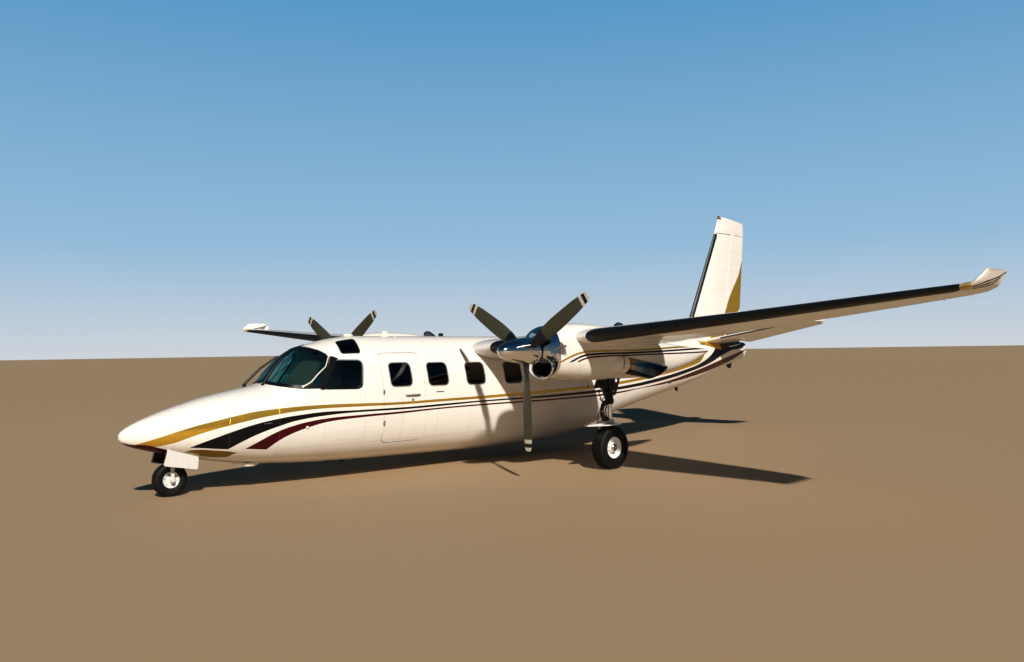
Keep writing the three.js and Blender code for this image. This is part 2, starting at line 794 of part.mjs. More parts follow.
const intake = { z: 1476, halfWidth: 198, halfHeight: 144, sides: 20 };
const intakeOutline = [];
for (let i = 0; i < intake.sides; i += 1) {
  const angle = (i * 2 * Math.PI) / intake.sides;
  const across = nacelleY + intake.halfWidth * Math.cos(angle);
  intakeOutline.push([across, intake.z + intake.halfHeight * Math.sin(angle)]);
}
const shaft = { radius: 45, hole: 55 };
const cowlRing = nacelleBody(cowlSeamX + seamGap, cowlFrontX)
  .subtract(nacelleBody(cowlSeamX - 5, cowlFrontX - 45, -cowlWall))
  .subtract(frontPrism(intakeOutline, 1700, 2100))
  .subtract(rod([1700, nacelleY, propellerZ], [2100, nacelleY, propellerZ], shaft.hole));
placePair("cowl_ring", largestBody(cowlRing), finish.chrome);

const engine = { fromX: firewallX + seamGap, toX: 1900, halfWidth: 185, bottomZ: 1540, topZ: 1920 };
const bearing = { depth: 61, clearance: 0.6, sides: 24 };
const engineBlock = boxBetween(
  [engine.fromX, nacelleY - engine.halfWidth, engine.bottomZ],
  [engine.toX, nacelleY + engine.halfWidth, engine.topZ],
).subtract(
  rod(
    [engine.toX - bearing.depth, nacelleY, propellerZ],
    [engine.toX + 1, nacelleY, propellerZ],
    shaft.radius + bearing.clearance,
    shaft.radius + bearing.clearance,
    bearing.sides,
  ),
);
placePair("engine", engineBlock, finish.steel);

// Exhaust pipe: a round tube on the outboard side, let into the nacelle and cut on a slant at its end
const exhaust = {
  start: [560, nacelleY + 265, 1488],
  end: [-420, nacelleY + 320, 1312],
  radius: 123,
  wall: 8,
};
const exhaustSlant = [
  [151, 1200],
  [-674, 1600],
  [-1300, 1600],
  [-1300, 1200],
];
const exhaustTube = (radius) => rod(exhaust.start, exhaust.end, radius, radius, 18);
const exhaustStop = exhaust.start[0] - 40;
const pipe = exhaustTube(exhaust.radius)
  .subtract(exhaustTube(exhaust.radius - exhaust.wall).intersect(
    boxBetween([-2000, 0, 0], [exhaustStop, 4000, 3000]),
  ))
  .subtract(nacelleBody(-1800, cowlSeamX, seamGap))
  .subtract(sidePrism(exhaustSlant, 0, 4000));
placePair("exhaust", largestBody(pipe), finish.steel);

// Propeller: shaft, back plate, hub and three blades that stand flat to the disc
// Blade stations: radius, chord, thickness, pitch in degrees
const bladeTable = [
  [140, 92, 92, 30],
  [250, 112, 66, 27],
  [380, 165, 38, 21],
  [640, 204, 24, 11],
  [1020, 199, 15, 5],
  [1250, 168, 10, 2],
  [propellerRadius, 92, 6, 2],
];
// Spinner stations: distance ahead of the back plate, radius
const spinnerTable = [
  [0, 174],
  [90, 177],
  [170, 172],
  [270, 159],
  [380, 137],
  [470, 106],
  [535, 70],
  [570, 38],
  [580, 0],
];
const spinner = { backX: 2090, radius: 174, wall: 6 };
function bladeSolid() {
  const rings = bladeTable.map(([radius, chord, thickness, pitch]) => {
    const turn = THREE.MathUtils.degToRad(pitch);
    const ring = [];
    const count = 8;
    for (let i = 0; i < count; i += 1) {
      const angle = ((i + 0.5) * 2 * Math.PI) / count;
      const across = (Math.cos(angle) * chord) / 2;
      const through = (Math.sin(angle) * thickness) / 2;
      const y = across * Math.cos(turn) + through * Math.sin(turn);
      const x = through * Math.cos(turn) - across * Math.sin(turn);
      ring.push(new THREE.Vector3(x, y, radius));
    }
    return ring;
  });
  return loft(rings);
}
const blade = bladeSolid();
const spinnerAxis = { x: propellerX, z: propellerZ };
const shaftEndX = engine.toX - bearing.depth + 1 - propellerX;
function propellerSolid() {
  const plateX = spinner.backX - propellerX - seamGap;
  const hub = joined(
    rod([shaftEndX, 0, 0], [plateX, 0, 0], shaft.radius, shaft.radius, bearing.sides),
    rod([plateX - 8, 0, 0], [plateX, 0, 0], spinner.radius, spinner.radius, 18),
    rod([plateX - 4, 0, 0], [110, 0, 0], 105, 95, 16),
  );
  let whole = hub;
  for (let i = 0; i < bladeCount; i += 1) {
    const turn = bladePhase + (i * 360) / bladeCount;
    const shank = rod([0, 0, 20], [0, 0, 175], 50, 46, 12);
    whole = whole.add(shank.add(blade).rotate([turn, 0, 0]));
  }
  return whole;
}
function spinnerSolid() {
  const back = spinner.backX - propellerX;
  const outside = spinnerTable.map(([ahead, radius]) => [radius, back + ahead]);
  const inside = spinnerTable.filter((row, i) => i % 2 === 0).map(([ahead, radius]) => [
    Math.max(radius - spinner.wall, 0),
    back + (ahead > 0 ? ahead - spinner.wall : 0),
  ]);
  const profile = [...outside, ...inside.reverse(), outside[0]];
  const points = profile.map(([radius, offset]) => new THREE.Vector2(radius, offset));
  let form = solidOf(new THREE.LatheGeometry(points, 18).rotateZ(-Math.PI / 2));
  for (let i = 0; i < bladeCount; i += 1) {
    const turn = bladePhase + (i * 360) / bladeCount;
    form = form.subtract(rod([0, 0, 90], [0, 0, 300], 56, 56, 12).rotate([turn, 0, 0]));
  }
  return form;
}
const propeller = propellerSolid();
const spinnerForm = spinnerSolid();
[
  ["left", nacelleY],
  ["right", -nacelleY],
].forEach(([side, y]) => {
  const group = new THREE.Group();
  group.position.set(spinnerAxis.x, y, spinnerAxis.z);
  root.add(group);
  place("propeller_" + side, propeller, finish.blade, group);
  place("spinner_" + side, spinnerForm, finish.chrome, group);
});

// Wheels turn about Y: tyre and hub profiles as radius and offset from the wheel's middle
function tyreSolid(radius, rim, width, sides) {
  const outer = radius / Math.cos(Math.PI / sides);
  const half = width / 2;
  return turned(
    [
      [rim + seamGap, -half * 0.72],
      [rim + (outer - rim) * 0.45, -half],
      [rim + (outer - rim) * 0.75, -half * 0.96],
      [outer - (outer - rim) * 0.07, -half * 0.68],
      [outer, -half * 0.42],
      [outer, half * 0.42],
      [outer - (outer - rim) * 0.07, half * 0.68],
      [rim + (outer - rim) * 0.75, half * 0.96],
      [rim + (outer - rim) * 0.45, half],
      [rim + seamGap, half * 0.72],
      [rim + seamGap, -half * 0.72],
    ],
    sides,
  );
}
function wheelSolid(rim, bore, width, sides) {
  const half = (width / 2) * 0.72;
  return turned(
    [
      [bore, -half * 0.9],
      [rim * 0.42, -half * 0.9],
      [rim * 0.5, -half * 0.45],
      [rim * 0.82, -half * 0.45],
      [rim - 12, -half],
      [rim, -half],
      [rim, half],
      [rim - 12, half],
      [rim * 0.82, half * 0.45],
      [rim * 0.5, half * 0.45],
      [rim * 0.42, half * 0.9],
      [bore, half * 0.9],
      [bore, -half * 0.9],
    ],
    sides,
  );
}
const mainWheel = { rim: 152, bore: 31, width: 225, sides: 20 };
const noseWheel = { rim: 100, bore: 17, width: 150, sides: 20 };
const pinGap = 1;

[
  ["left", nacelleY],
  ["right", -nacelleY],
].forEach(([side, y]) => {
  const group = new THREE.Group();
  group.position.set(mainGearX, y, mainTyreRadius);
  root.add(group);
  const { rim, bore, width, sides } = mainWheel;
  place("main_tyre_" + side, tyreSolid(mainTyreRadius, rim, width, sides), finish.tyre, group);
  place("main_wheel_" + side, wheelSolid(rim, bore, width, sides), finish.hub, group);
});

// Main gear leg: cylinder, piston, half fork on the inboard side, axle and the flat door plate
const leg = {
  topZ: 1599.6,
  cylinderEndZ: 930,
  radius: 62,
  pistonRadius: 40,
  crownZ: 690,
  plateZ: 632,
  armY: nacelleY - 165,
};
// The flat door plate over the tyre, pointed at both ends, in the plan view
const gearPlate = [
  [mainGearX + 500, nacelleY],
  [mainGearX + 170, nacelleY - 175],
  [mainGearX - 60, nacelleY - 175],
  [mainGearX - 230, nacelleY],
  [mainGearX - 60, nacelleY + 165],
  [mainGearX + 170, nacelleY + 165],
];
const mainLeg = joined(
  rod([mainGearX, nacelleY, leg.topZ], [mainGearX, nacelleY, leg.cylinderEndZ], leg.radius),
  rod([mainGearX, nacelleY, leg.cylinderEndZ + 20], [mainGearX, nacelleY, leg.crownZ - 20], leg.pistonRadius),
  boxBetween(
    [mainGearX - 50, leg.armY - 22, leg.crownZ - 50],
    [mainGearX + 50, nacelleY + 45, leg.crownZ + 20],
  ),
  boxBetween([mainGearX - 42, leg.armY - 22, 262], [mainGearX + 42, leg.armY + 22, leg.crownZ]),
  rod(
    [mainGearX, leg.armY, mainTyreRadius],
    [mainGearX, nacelleY + 70, mainTyreRadius],
    mainWheel.bore - pinGap,
  ),
  planPrism(roundedOutline(gearPlate, 60), leg.plateZ, leg.plateZ + 14),
  rod([mainGearX + 60, nacelleY, 1000], [mainGearX + 150, nacelleY, 1230], 26),
  boxBetween([mainGearX + 30, nacelleY - 24, 690], [mainGearX + 160, nacelleY + 24, 712]),
  boxBetween([mainGearX + 130, nacelleY - 24, 690], [mainGearX + 160, nacelleY + 24, 960]),
  boxBetween([mainGearX + 30, nacelleY - 24, 930], [mainGearX + 160, nacelleY + 24, 960]),
);
placePair("main_gear_leg", mainLeg, finish.gear);

// Nose gear: fixed leg in the bay, steering fork, wheel and the two open bay doors
const noseLegBottom = 470;
place(
  "nose_gear_leg",
  joined(
    rod([noseGearX, 0, 799.6], [noseGearX, 0, noseLegBottom], 46),
    rod([noseGearX - 30, 0, 560], [noseGearX - 200, 0, 780], 20),
  ),
  finish.gear,
);
const fork = { crownBottom: 425, armY: 92, thick: 16 };
place(
  "nose_gear_fork",
  joined(
    rod([noseGearX, 0, noseLegBottom - 0.3], [noseGearX, 0, fork.crownBottom + 5], 40),
    boxBetween(
      [noseGearX - 38, -fork.armY - fork.thick, fork.crownBottom],
      [noseGearX + 38, fork.armY + fork.thick, fork.crownBottom + 26],
    ),
    ...[-1, 1].map((side) =>
      boxBetween(
        [noseGearX - 26, side * (fork.armY + fork.thick / 2) - fork.thick / 2, noseTyreRadius - 26],
        [noseGearX + 26, side * (fork.armY + fork.thick / 2) + fork.thick / 2, fork.crownBottom + 5],
      ),
    ),
    rod(
      [noseGearX, -fork.armY - 10, noseTyreRadius],
      [noseGearX, fork.armY + 10, noseTyreRadius],
      noseWheel.bore - pinGap,
    ),
  ),
  finish.gear,
);
const noseAxle = new THREE.Group();
noseAxle.position.set(noseGearX, 0, noseTyreRadius);
root.add(noseAxle);
place(
  "nose_tyre",
  tyreSolid(noseTyreRadius, noseWheel.rim, noseWheel.width, noseWheel.sides),
  finish.tyre,
  noseAxle,
);
place(
  "nose_wheel",
  wheelSolid(noseWheel.rim, noseWheel.bore, noseWheel.width, noseWheel.sides),
  finish.hub,
  noseAxle,
);
const noseDoorOutline = [
  [5692, 318],
  [6108, 400],
  [6062, 552],
  [6062, 640],
  [5676, 640],
];
const noseDoor = sidePrism(noseDoorOutline, 212, 222).subtract(hull(5400, 6300, seamGap));
placePair("nose_gear_door", largestBody(noseDoor), finish.paint);

// Tail: fin and rudder with its horn, tailplane and elevators
// Fin sections: z, leading edge x, chord, unused, thickness share
const finTable = [
  [1780, -4290, 2000, 0, 0.1],
  [2360, -4572, 1770, 0, 0.1],
  [4138, -5480, 1070, 0, 0.095],
  [4440, -5600, 948, 0, 0.09],
  [4510, -5636, 900, 0, 0.07],
];
const finBody = (grow = 0) =>
  loft(
    finTable.map(([z, x, chord, , thickness]) =>
      foilRing({ x, y: 0, z, chord, thickness, cant: 0, camber: 0, grow, upright: true }),
    ),
  );
const horn = { z: 4138, gap: 16 };
const rudderBottomZ = 1935;
const rudderHinge = surfaceHinge(
  finTable,
  [
    [rudderBottomZ, 0.657],
    [horn.z, 0.537],
  ],
  0,
  true,
);
const rudderSpace = hingeZone(rudderHinge, movingGap * 4, movingGap);
const rudderZone = hingeZone(rudderHinge, movingGap * 4, -seamGap);
const levels = (fromZ, toZ) => boxBetween([-8000, -500, fromZ], [-3000, 500, toZ]);
// The tip slopes down to the rear
const finTip = [
  [-5630, 4512],
  [-6500, 4430],
  [-6560, 4395],
  [-6700, 4395],
  [-6700, 4700],
  [-5630, 4700],
];
const rudder = joined(
  finBody()
    .intersect(rudderZone.block)
    .add(rudderZone.nose)
    .intersect(levels(rudderBottomZ, horn.z + horn.gap + 5)),
  finBody().intersect(levels(horn.z + horn.gap, 4600)),
).subtract(sidePrism(finTip, -500, 500));
const rudderPin = pinsOf(rudderHinge)[0];
const rudderHole = pinsOf(rudderHinge, hingePin.clearance, hingePin.endGap)[0];
place("rudder", largestBody(rudder).add(rudderPin), finish.paint);
const tailSkin = 14;
const rudderSweep = rudderSpace.block.add(rudderSpace.nose);
const fin = finBody()
  .intersect(levels(1500, horn.z))
  .subtract(rudderSweep.intersect(levels(rudderBottomZ - movingGap, 4600)))
  .subtract(rudderHole)
  .subtract(hull(tailX, cabinRearX, seamGap));
place("fin", largestBody(fin), finish.paint);

// Tailplane sections: y, leading edge x, chord, leading edge z, thickness share
const tailplaneCamber = 0.005;
const tailplaneTable = [
  [40, -4927, 1294, 1837, 0.1],
  [300, -4960, 1240, 1882, 0.1],
  [2130, -5250, 780, 2198, 0.09],
  [2230, -5345, 640, 2215, 0.07],
];
const tailplaneBody = (grow = 0) =>
  loft(
    tailplaneTable.map(([y, x, chord, z, thickness]) =>
      foilRing({ x, y, z, chord, thickness, cant: 9, camber: tailplaneCamber, grow }),
    ),
  );
const elevatorShare = 0.62;
const elevatorHinge = surfaceHinge(
  tailplaneTable,
  [
    [360, elevatorShare],
    [2120, elevatorShare],
  ],
  tailplaneCamber,
);
const tailplane = splitSurface(tailplaneBody(), elevatorHinge);
// At rest the elevators hang a little below the tailplane
const elevatorDroop = 8;
function drooped(solid, [start, end], degrees) {
  const along = end.point.clone().sub(start.point).normalize();
  const back = new THREE.Matrix4().makeTranslation(start.point.clone().negate());
  const turn = new THREE.Matrix4().makeRotationAxis(along, THREE.MathUtils.degToRad(-degrees));
  const forth = new THREE.Matrix4().makeTranslation(start.point);
  return solid.transform(forth.multiply(turn).multiply(back).toArray());
}
const elevatorWall = hingeZone(elevatorHinge, 2 * tailSkin, movingGap + tailSkin);
const tailplaneHollow = tailplaneBody(-tailSkin)
  .intersect(boxBetween([-7000, -100, 1000], [-4000, 2080, 3000]))
  .subtract(elevatorWall.block)
  .subtract(elevatorWall.nose);
placePair(
  "tailplane",
  largestBody(
    tailplane.fixed
      .subtract(hull(tailX, cabinRearX, seamGap))
      .subtract(finBody(seamGap))
      .subtract(tailplaneHollow),
  ),
  finish.paint,
);
placePair("elevator", drooped(tailplane.surface, elevatorHinge, elevatorDroop), finish.paint);

export default root;
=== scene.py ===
import bmesh
import bpy
import math
from bisect import bisect_right
from mathutils import Matrix, Vector


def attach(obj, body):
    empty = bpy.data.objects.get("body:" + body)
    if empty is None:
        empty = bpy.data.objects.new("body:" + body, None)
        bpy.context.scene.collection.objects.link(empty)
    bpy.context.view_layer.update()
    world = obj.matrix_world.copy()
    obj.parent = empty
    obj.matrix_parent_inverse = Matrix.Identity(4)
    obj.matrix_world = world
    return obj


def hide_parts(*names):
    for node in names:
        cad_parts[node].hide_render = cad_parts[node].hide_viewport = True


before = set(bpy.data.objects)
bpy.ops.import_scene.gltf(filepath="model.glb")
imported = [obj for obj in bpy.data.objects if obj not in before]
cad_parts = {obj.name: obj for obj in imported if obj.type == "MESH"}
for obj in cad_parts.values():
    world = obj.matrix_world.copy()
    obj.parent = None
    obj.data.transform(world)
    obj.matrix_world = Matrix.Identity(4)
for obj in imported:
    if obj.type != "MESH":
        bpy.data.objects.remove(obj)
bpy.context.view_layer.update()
scene = bpy.context.scene

# Camera: stands ahead of the left wing tip, a little above a person's head height,
# and looks back along the fuselage from the nose's left side.
camera_data = bpy.data.cameras.new("camera")
camera_data.sensor_width = 36.0
camera_data.lens = 848.03 * 36.0 / 1024.0
camera_data.clip_start = 0.1
camera_data.clip_end = 3000.0
camera = bpy.data.objects.new("camera", camera_data)
scene.collection.objects.link(camera)
yaw, pitch, roll = -2.3001, 0.0230, -0.0147
look = Vector((math.cos(yaw) * math.cos(pitch), math.sin(yaw) * math.cos(pitch), math.sin(pitch)))
across = look.cross(Vector((0.0, 0.0, 1.0))).normalized()
above = across.cross(look)
right = math.cos(roll) * across + math.sin(roll) * above
up = -math.sin(roll) * across + math.cos(roll) * above
turn = Matrix((right, up, -look)).transposed().to_4x4()
camera.matrix_world = Matrix.Translation((9.7332, 10.5227, 1.712)) @ turn
scene.camera = camera

# Studio: a plain pale floor and backdrop sky, a sun with a soft edge high on the left side
# ahead of the wing, and a weak fill from the other side.
floor_mesh = bpy.data.meshes.new("floor")
bm = bmesh.new()
bmesh.ops.create_grid(bm, x_segments=1, y_segments=1, size=700.0)
bm.to_mesh(floor_mesh)
bm.free()
floor = bpy.data.objects.new("floor", floor_mesh)
scene.collection.objects.link(floor)
floor_finish = bpy.data.materials.new("floor")
floor_finish.use_nodes = True
floor_shader = floor_finish.node_tree.nodes["Principled BSDF"]
floor_shader.inputs["Base Color"].default_value = (0.40, 0.285, 0.17, 1)
floor_shader.inputs["Roughness"].default_value = 0.75
floor_mesh.materials.append(floor_finish)


def soft_light(name, kind, place, aim, spread, power, colour):
    """A round lamp, or a sun whose spread is an angle, that points from its place to its aim."""
    light = bpy.data.lights.new(name, kind)
    if kind == "AREA":
        light.shape = "DISK"
        light.size = spread
    else:
        light.angle = spread
    light.energy = power
    light.color = colour
    lamp = bpy.data.objects.new(name, light)
    scene.collection.objects.link(lamp)
    lamp.location = place
    lamp.rotation_euler = (Vector(aim) - Vector(place)).to_track_quat("-Z", "Y").to_euler()


soft_light("key", "SUN", (28.0, 54.0, 45.0), (0.5, 0.5, 1.0), 0.03, 4.9, (1.0, 0.95, 0.88))
soft_light("fill", "AREA", (9.0, -13.0, 9.0), (0.0, 0.0, 1.0), 9.0, 60.0, (0.86, 0.93, 1.0))

world = bpy.data.worlds.new("studio")
scene.world = world
world.use_nodes = True
sky = world.node_tree
sky_place = sky.nodes.new("ShaderNodeTexCoord")
sky_split = sky.nodes.new("ShaderNodeSeparateXYZ")
sky_ramp = sky.nodes.new("ShaderNodeValToRGB")
sky.links.new(sky_place.outputs["Generated"], sky_split.inputs[0])
sky.links.new(sky_split.outputs["Z"], sky_ramp.inputs["Fac"])
sky.links.new(sky_ramp.outputs["Color"], sky.nodes["Background"].inputs["Color"])
sky_shades = sky_ramp.color_ramp.elements
sky_shades[0].color = (0.80, 0.85, 0.90, 1)
sky_shades[1].position = 0.95
sky_shades[1].color = (0.05, 0.17, 0.36, 1)
for position, colour in ((0.12, (0.44, 0.68, 0.90, 1)), (0.45, (0.10, 0.40, 0.72, 1))):
    sky_shades.new(position).color = colour
# The camera sees the backdrop brighter than it lights the aircraft, as a bright haze would
sky_ray = sky.nodes.new("ShaderNodeLightPath")
sky_level = sky.nodes.new("ShaderNodeMath")
sky_level.operation = "MULTIPLY_ADD"
sky_level.inputs[1].default_value = 0.62
sky_level.inputs[2].default_value = 0.2
sky.links.new(sky_ray.outputs["Is Camera Ray"], sky_level.inputs[0])
sky.links.new(sky_level.outputs[0], sky.nodes["Background"].inputs["Strength"])
scene.view_settings.view_transform = "Standard"
scene.view_settings.gamma = 0.84
scene.view_settings.exposure = 0.0

# Fuselage: light-alloy frames and stringers under riveted sheet, filled and gloss painted.
# Nose cone, nose, cabin and tail are production sections that butt together.
mm = 0.001
# Station x, top z, bottom z, half width and z of the greatest width, in millimetres
hull_table = [
    (6550, 765, 745, 10, 755),
    (6460, 865, 655, 100, 755),
    (6180, 990, 560, 235, 765),
    (5820, 1105, 475, 365, 790),
    (5450, 1200, 385, 475, 820),
    (5070, 1270, 325, 555, 850),
    (4800, 1325, 292, 600, 875),
    (4720, 1385, 288, 608, 882),
    (4600, 1535, 278, 622, 893),
    (4450, 1685, 266, 640, 907),
    (4300, 1782, 256, 655, 920),
    (4100, 1842, 246, 669, 934),
    (3650, 1932, 230, 692, 956),
    (3400, 1953, 222, 700, 970),
    (2900, 1951, 212, 705, 980),
    (1000, 1945, 185, 705, 980),
    (0, 1940, 190, 700, 980),
    (-900, 1935, 300, 685, 1020),
    (-1970, 1920, 575, 620, 1120),
    (-3150, 1900, 800, 500, 1250),
    (-4450, 1880, 1030, 340, 1420),
    (-5410, 1860, 1270, 210, 1570),
    (-6100, 1840, 1400, 130, 1690),
    (-6460, 1812, 1510, 78, 1690),
    (-6550, 1768, 1600, 34, 1690),
]
hull_tip = 6.55
hull_sides = 96


def smooth_column(table, key, measure=lambda at: at):
    """Reads one column of a station table on a smooth curve through its rows."""
    rows = sorted((measure(row[0] * mm), row[key] * mm) for row in table)
    at_list = [row[0] for row in rows]
    values = [row[1] for row in rows]
    slopes = [(b[1] - a[1]) / (b[0] - a[0]) for a, b in zip(rows, rows[1:])]
    bends = [0.0 if a * b <= 0 else 2 * a * b / (a + b) for a, b in zip(slopes, slopes[1:])]
    tangents = [slopes[0], *bends, slopes[-1]]

    def read(at):
        i = min(max(bisect_right(at_list, measure(at)) - 1, 0), len(rows) - 2)
        step = at_list[i + 1] - at_list[i]
        t = min(max((measure(at) - at_list[i]) / step, 0.0), 1.0)
        return (
            (1 + 2 * t) * (1 - t) ** 2 * values[i]
            + t * (1 - t) ** 2 * step * tangents[i]
            + t * t * (3 - 2 * t) * values[i + 1]
            + t * t * (t - 1) * step * tangents[i + 1]
        )

    return read


def from_tip(x):
    return math.sqrt(max(hull_tip - x, 0.0))


hull_top, hull_bottom, hull_half, hull_wide = [
    smooth_column(hull_table, key, from_tip) for key in (1, 2, 3, 4)
]


def rounded_ring(centre_y, top, bottom, half, wide, powers, sides, at):
    """A rounded section across the aircraft at station x."""
    ring = []
    for i in range(sides):
        angle = (i + 0.5) * math.tau / sides
        c, s = math.cos(angle), math.sin(angle)
        power = powers[0] if s > 0 else powers[1]
        height = top - wide if s > 0 else wide - bottom
        y = math.copysign(abs(c) ** (2 / power), c) * half
        z = math.copysign(abs(s) ** (2 / power), s) * height
        ring.append(Vector((at, centre_y + y, wide + z)))
    return ring


def hull_ring(x, grow):
    return rounded_ring(
        0.0, hull_top(x) + grow, hull_bottom(x) - grow, max(hull_half(x) + grow, 0.004),
        hull_wide(x), (2.25, 2.4), hull_sides, x,
    )


def finished(bm):
    """The mesh of a finished bmesh."""
    mesh = bpy.data.meshes.new("body")
    bm.to_mesh(mesh)
    bm.free()
    return mesh


def loft(sections):
    """A closed body through like sections: one circle, extruded from each section to the next."""
    bm = bmesh.new()
    spot = bm.verts.layers.int.new("spot")
    ring = bmesh.ops.create_circle(bm, segments=len(sections[0]), radius=1.0)["verts"]
    for i, vert in enumerate(ring):
        vert[spot] = i
        vert.co = sections[0][i]
    edges = list(bm.edges)
    for section in sections[1:]:
        made = bmesh.ops.extrude_edge_only(bm, edges=edges)["geom"]
        edges = [item for item in made if isinstance(item, bmesh.types.BMEdge)]
        for item in made:
            if isinstance(item, bmesh.types.BMVert):
                item.co = section[item[spot]]
    bmesh.ops.holes_fill(bm, edges=[edge for edge in bm.edges if edge.is_boundary], sides=0)
    bmesh.ops.recalc_face_normals(bm, faces=bm.faces)
    if bm.calc_volume(signed=True) < 0:
        bmesh.ops.reverse_faces(bm, faces=bm.faces)
    return finished(bm)


def hull(from_x, to_x, grow=0.0, step=0.06):
    """The fuselage's form between two stations, grown or shrunk by an even amount."""
    low, high = from_tip(to_x), from_tip(from_x)
    count = max(int((to_x - from_x) / step), 2)
    stations = [to_x + (from_x - to_x) * i / count for i in range(count + 1)]
    if to_x > 6.2:
        count = 26
        stations = [hull_tip - (low + (high - low) * i / count) ** 2 for i in range(count + 1)]
    return loft([hull_ring(x, grow) for x in stations])


def carve(mesh, operation, *others):
    """The first body less, within, or with each of the others in turn."""
    base = bpy.data.objects.new("base", mesh)
    scene.collection.objects.link(base)
    tools = []
    for other in others:
        tool = bpy.data.objects.new("tool", other)
        scene.collection.objects.link(tool)
        tools.append(tool)
        cut = base.modifiers.new("cut", "BOOLEAN")
        cut.operation = operation
        cut.solver = "MANIFOLD"
        cut.object = tool
    shaped = base.evaluated_get(bpy.context.evaluated_depsgraph_get())
    result = bpy.data.meshes.new_from_object(shaped)
    for item in [base, *tools]:
        bpy.data.objects.remove(item)
    return result


def less(mesh, *others):
    return carve(mesh, "DIFFERENCE", *others)


def within(mesh, *others):
    return carve(mesh, "INTERSECT", *others)


def together(mesh, *others):
    return carve(mesh, "UNION", *others)


def rounded_outline(corners, radius, steps=6):
    """A closed outline in a plane, with each corner drawn round."""
    points = []
    for i, corner in enumerate(corners):
        here = Vector(corner)
        before, after = Vector(corners[i - 1]) - here, Vector(corners[(i + 1) % len(corners)]) - here
        reach = min(radius, before.length * 0.49, after.length * 0.49)
        start, end = here + before.normalized() * reach, here + after.normalized() * reach
        for k in range(steps + 1):
            t = k / steps
            points.append(start * (1 - t) ** 2 + here * 2 * t * (1 - t) + end * t * t)
    return points


def grown(outline, gap):
    """An outline moved outwards by a gap, or inwards where the gap is negative."""
    area = sum(a.x * b.y - b.x * a.y for a, b in zip(outline, outline[1:] + outline[:1]))
    sense = 1.0 if area > 0 else -1.0
    moved = []
    for i, here in enumerate(outline):
        before = (here - outline[i - 1]).normalized()
        after = (outline[(i + 1) % len(outline)] - here).normalized()
        along = (before + after).normalized()
        out = Vector((along.y, -along.x)) * sense
        moved.append(here + out * gap / max(out.dot(Vector((after.y, -after.x)) * sense), 0.4))
    return moved


def prism(outline, plane, low, high):
    """A straight-sided body from an outline in a plane: XZ and YZ are upright, XY is flat."""
    places = {
        "XZ": lambda p, depth: Vector((p[0], depth, p[1])),
        "YZ": lambda p, depth: Vector((depth, p[0], p[1])),
        "XY": lambda p, depth: Vector((p[0], p[1], depth)),
    }
    return loft([[places[plane](p, depth) for p in outline] for depth in (low, high)])


def box(low, high):
    bm = bmesh.new()
    bmesh.ops.create_cube(bm, size=1.0)
    size = Vector(high) - Vector(low)
    bmesh.ops.scale(bm, verts=bm.verts, vec=size)
    bmesh.ops.translate(bm, verts=bm.verts, vec=(Vector(high) + Vector(low)) / 2)
    return finished(bm)


def mirrored(mesh):
    other = mesh.copy()
    other.transform(Matrix.Scale(-1.0, 4, (0.0, 1.0, 0.0)))
    other.flip_normals()
    return other


def place(name, mesh, finish, slot, stands_for=(), body="airframe", angle=40.0):
    """Puts a finished mesh in the scene as one piece that rides on a body of the aircraft."""
    if not any(mesh.materials):
        mesh.materials.clear()
        mesh.materials.append(finish)
    mesh.shade_smooth()
    mesh.set_sharp_from_angle(angle=math.radians(angle))
    piece = bpy.data.objects.new(name, mesh)
    scene.collection.objects.link(piece)
    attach(piece, body)
    if stands_for:
        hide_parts(*stands_for)
    return piece


def place_pair(name, mesh, finish, slot, stands_for=(), body="airframe", angle=40.0):
    """The same piece on the left and mirrored on the right. A body that ends in _ has a side too."""
    other = mirrored(mesh)
    for side, form in (("left", mesh), ("right", other)):
        nodes = [node + "_" + side for node in stands_for]
        rides_on = body + side if body.endswith("_") else body
        place(name + "_" + side, form, finish, slot, nodes, rides_on, angle)

# Airframe paint: warm white gloss enamel with three swept stripes on each side, gold,
# black and maroon, that flare at the nose and run up over the tail.
def new_group(name, inputs, outputs):
    group = bpy.data.node_groups.new(name, "ShaderNodeTree")
    for socket, kind, value in inputs:
        made = group.interface.new_socket(name=socket, in_out="INPUT", socket_type=kind)
        if value is not None:
            made.default_value = value
    for socket, kind in outputs:
        group.interface.new_socket(name=socket, in_out="OUTPUT", socket_type=kind)
    return group, group.nodes.new("NodeGroupInput"), group.nodes.new("NodeGroupOutput")


def sums(tree, operation, a, b=None, c=None, clamp=False):
    """One Math node: each term is a number or another node's output."""
    node = tree.nodes.new("ShaderNodeMath")
    node.operation = operation
    node.use_clamp = clamp
    for i, term in enumerate((a, b, c)):
        if term is None:
            continue
        if isinstance(term, (int, float)):
            node.inputs[i].default_value = term
        else:
            tree.links.new(term, node.inputs[i])
    return node.outputs[0]


def times(tree, a, b):
    return sums(tree, "MULTIPLY", a, b)


def dial(node, values):
    """Sets a node's inputs by name."""
    for key, value in values.items():
        node.inputs[key].default_value = value


def ramp_between(tree, value, low, high):
    """0 below low and 1 above high, smooth between."""
    node = tree.nodes.new("ShaderNodeMapRange")
    node.interpolation_type = "SMOOTHSTEP"
    tree.links.new(value, node.inputs["Value"])
    dial(node, {"From Min": low, "From Max": high})
    return node.outputs["Result"]


def mixed(tree, factor, first, second, blend="MIX"):
    """A colour mix: the factor and both colours are values or outputs."""
    node = tree.nodes.new("ShaderNodeMix")
    node.data_type = "RGBA"
    node.blend_type = blend
    for socket, term in ((node.inputs[0], factor), (node.inputs[6], first), (node.inputs[7], second)):
        if isinstance(term, (int, float, tuple)):
            socket.default_value = term
        else:
            tree.links.new(term, socket)
    return node.outputs[2]


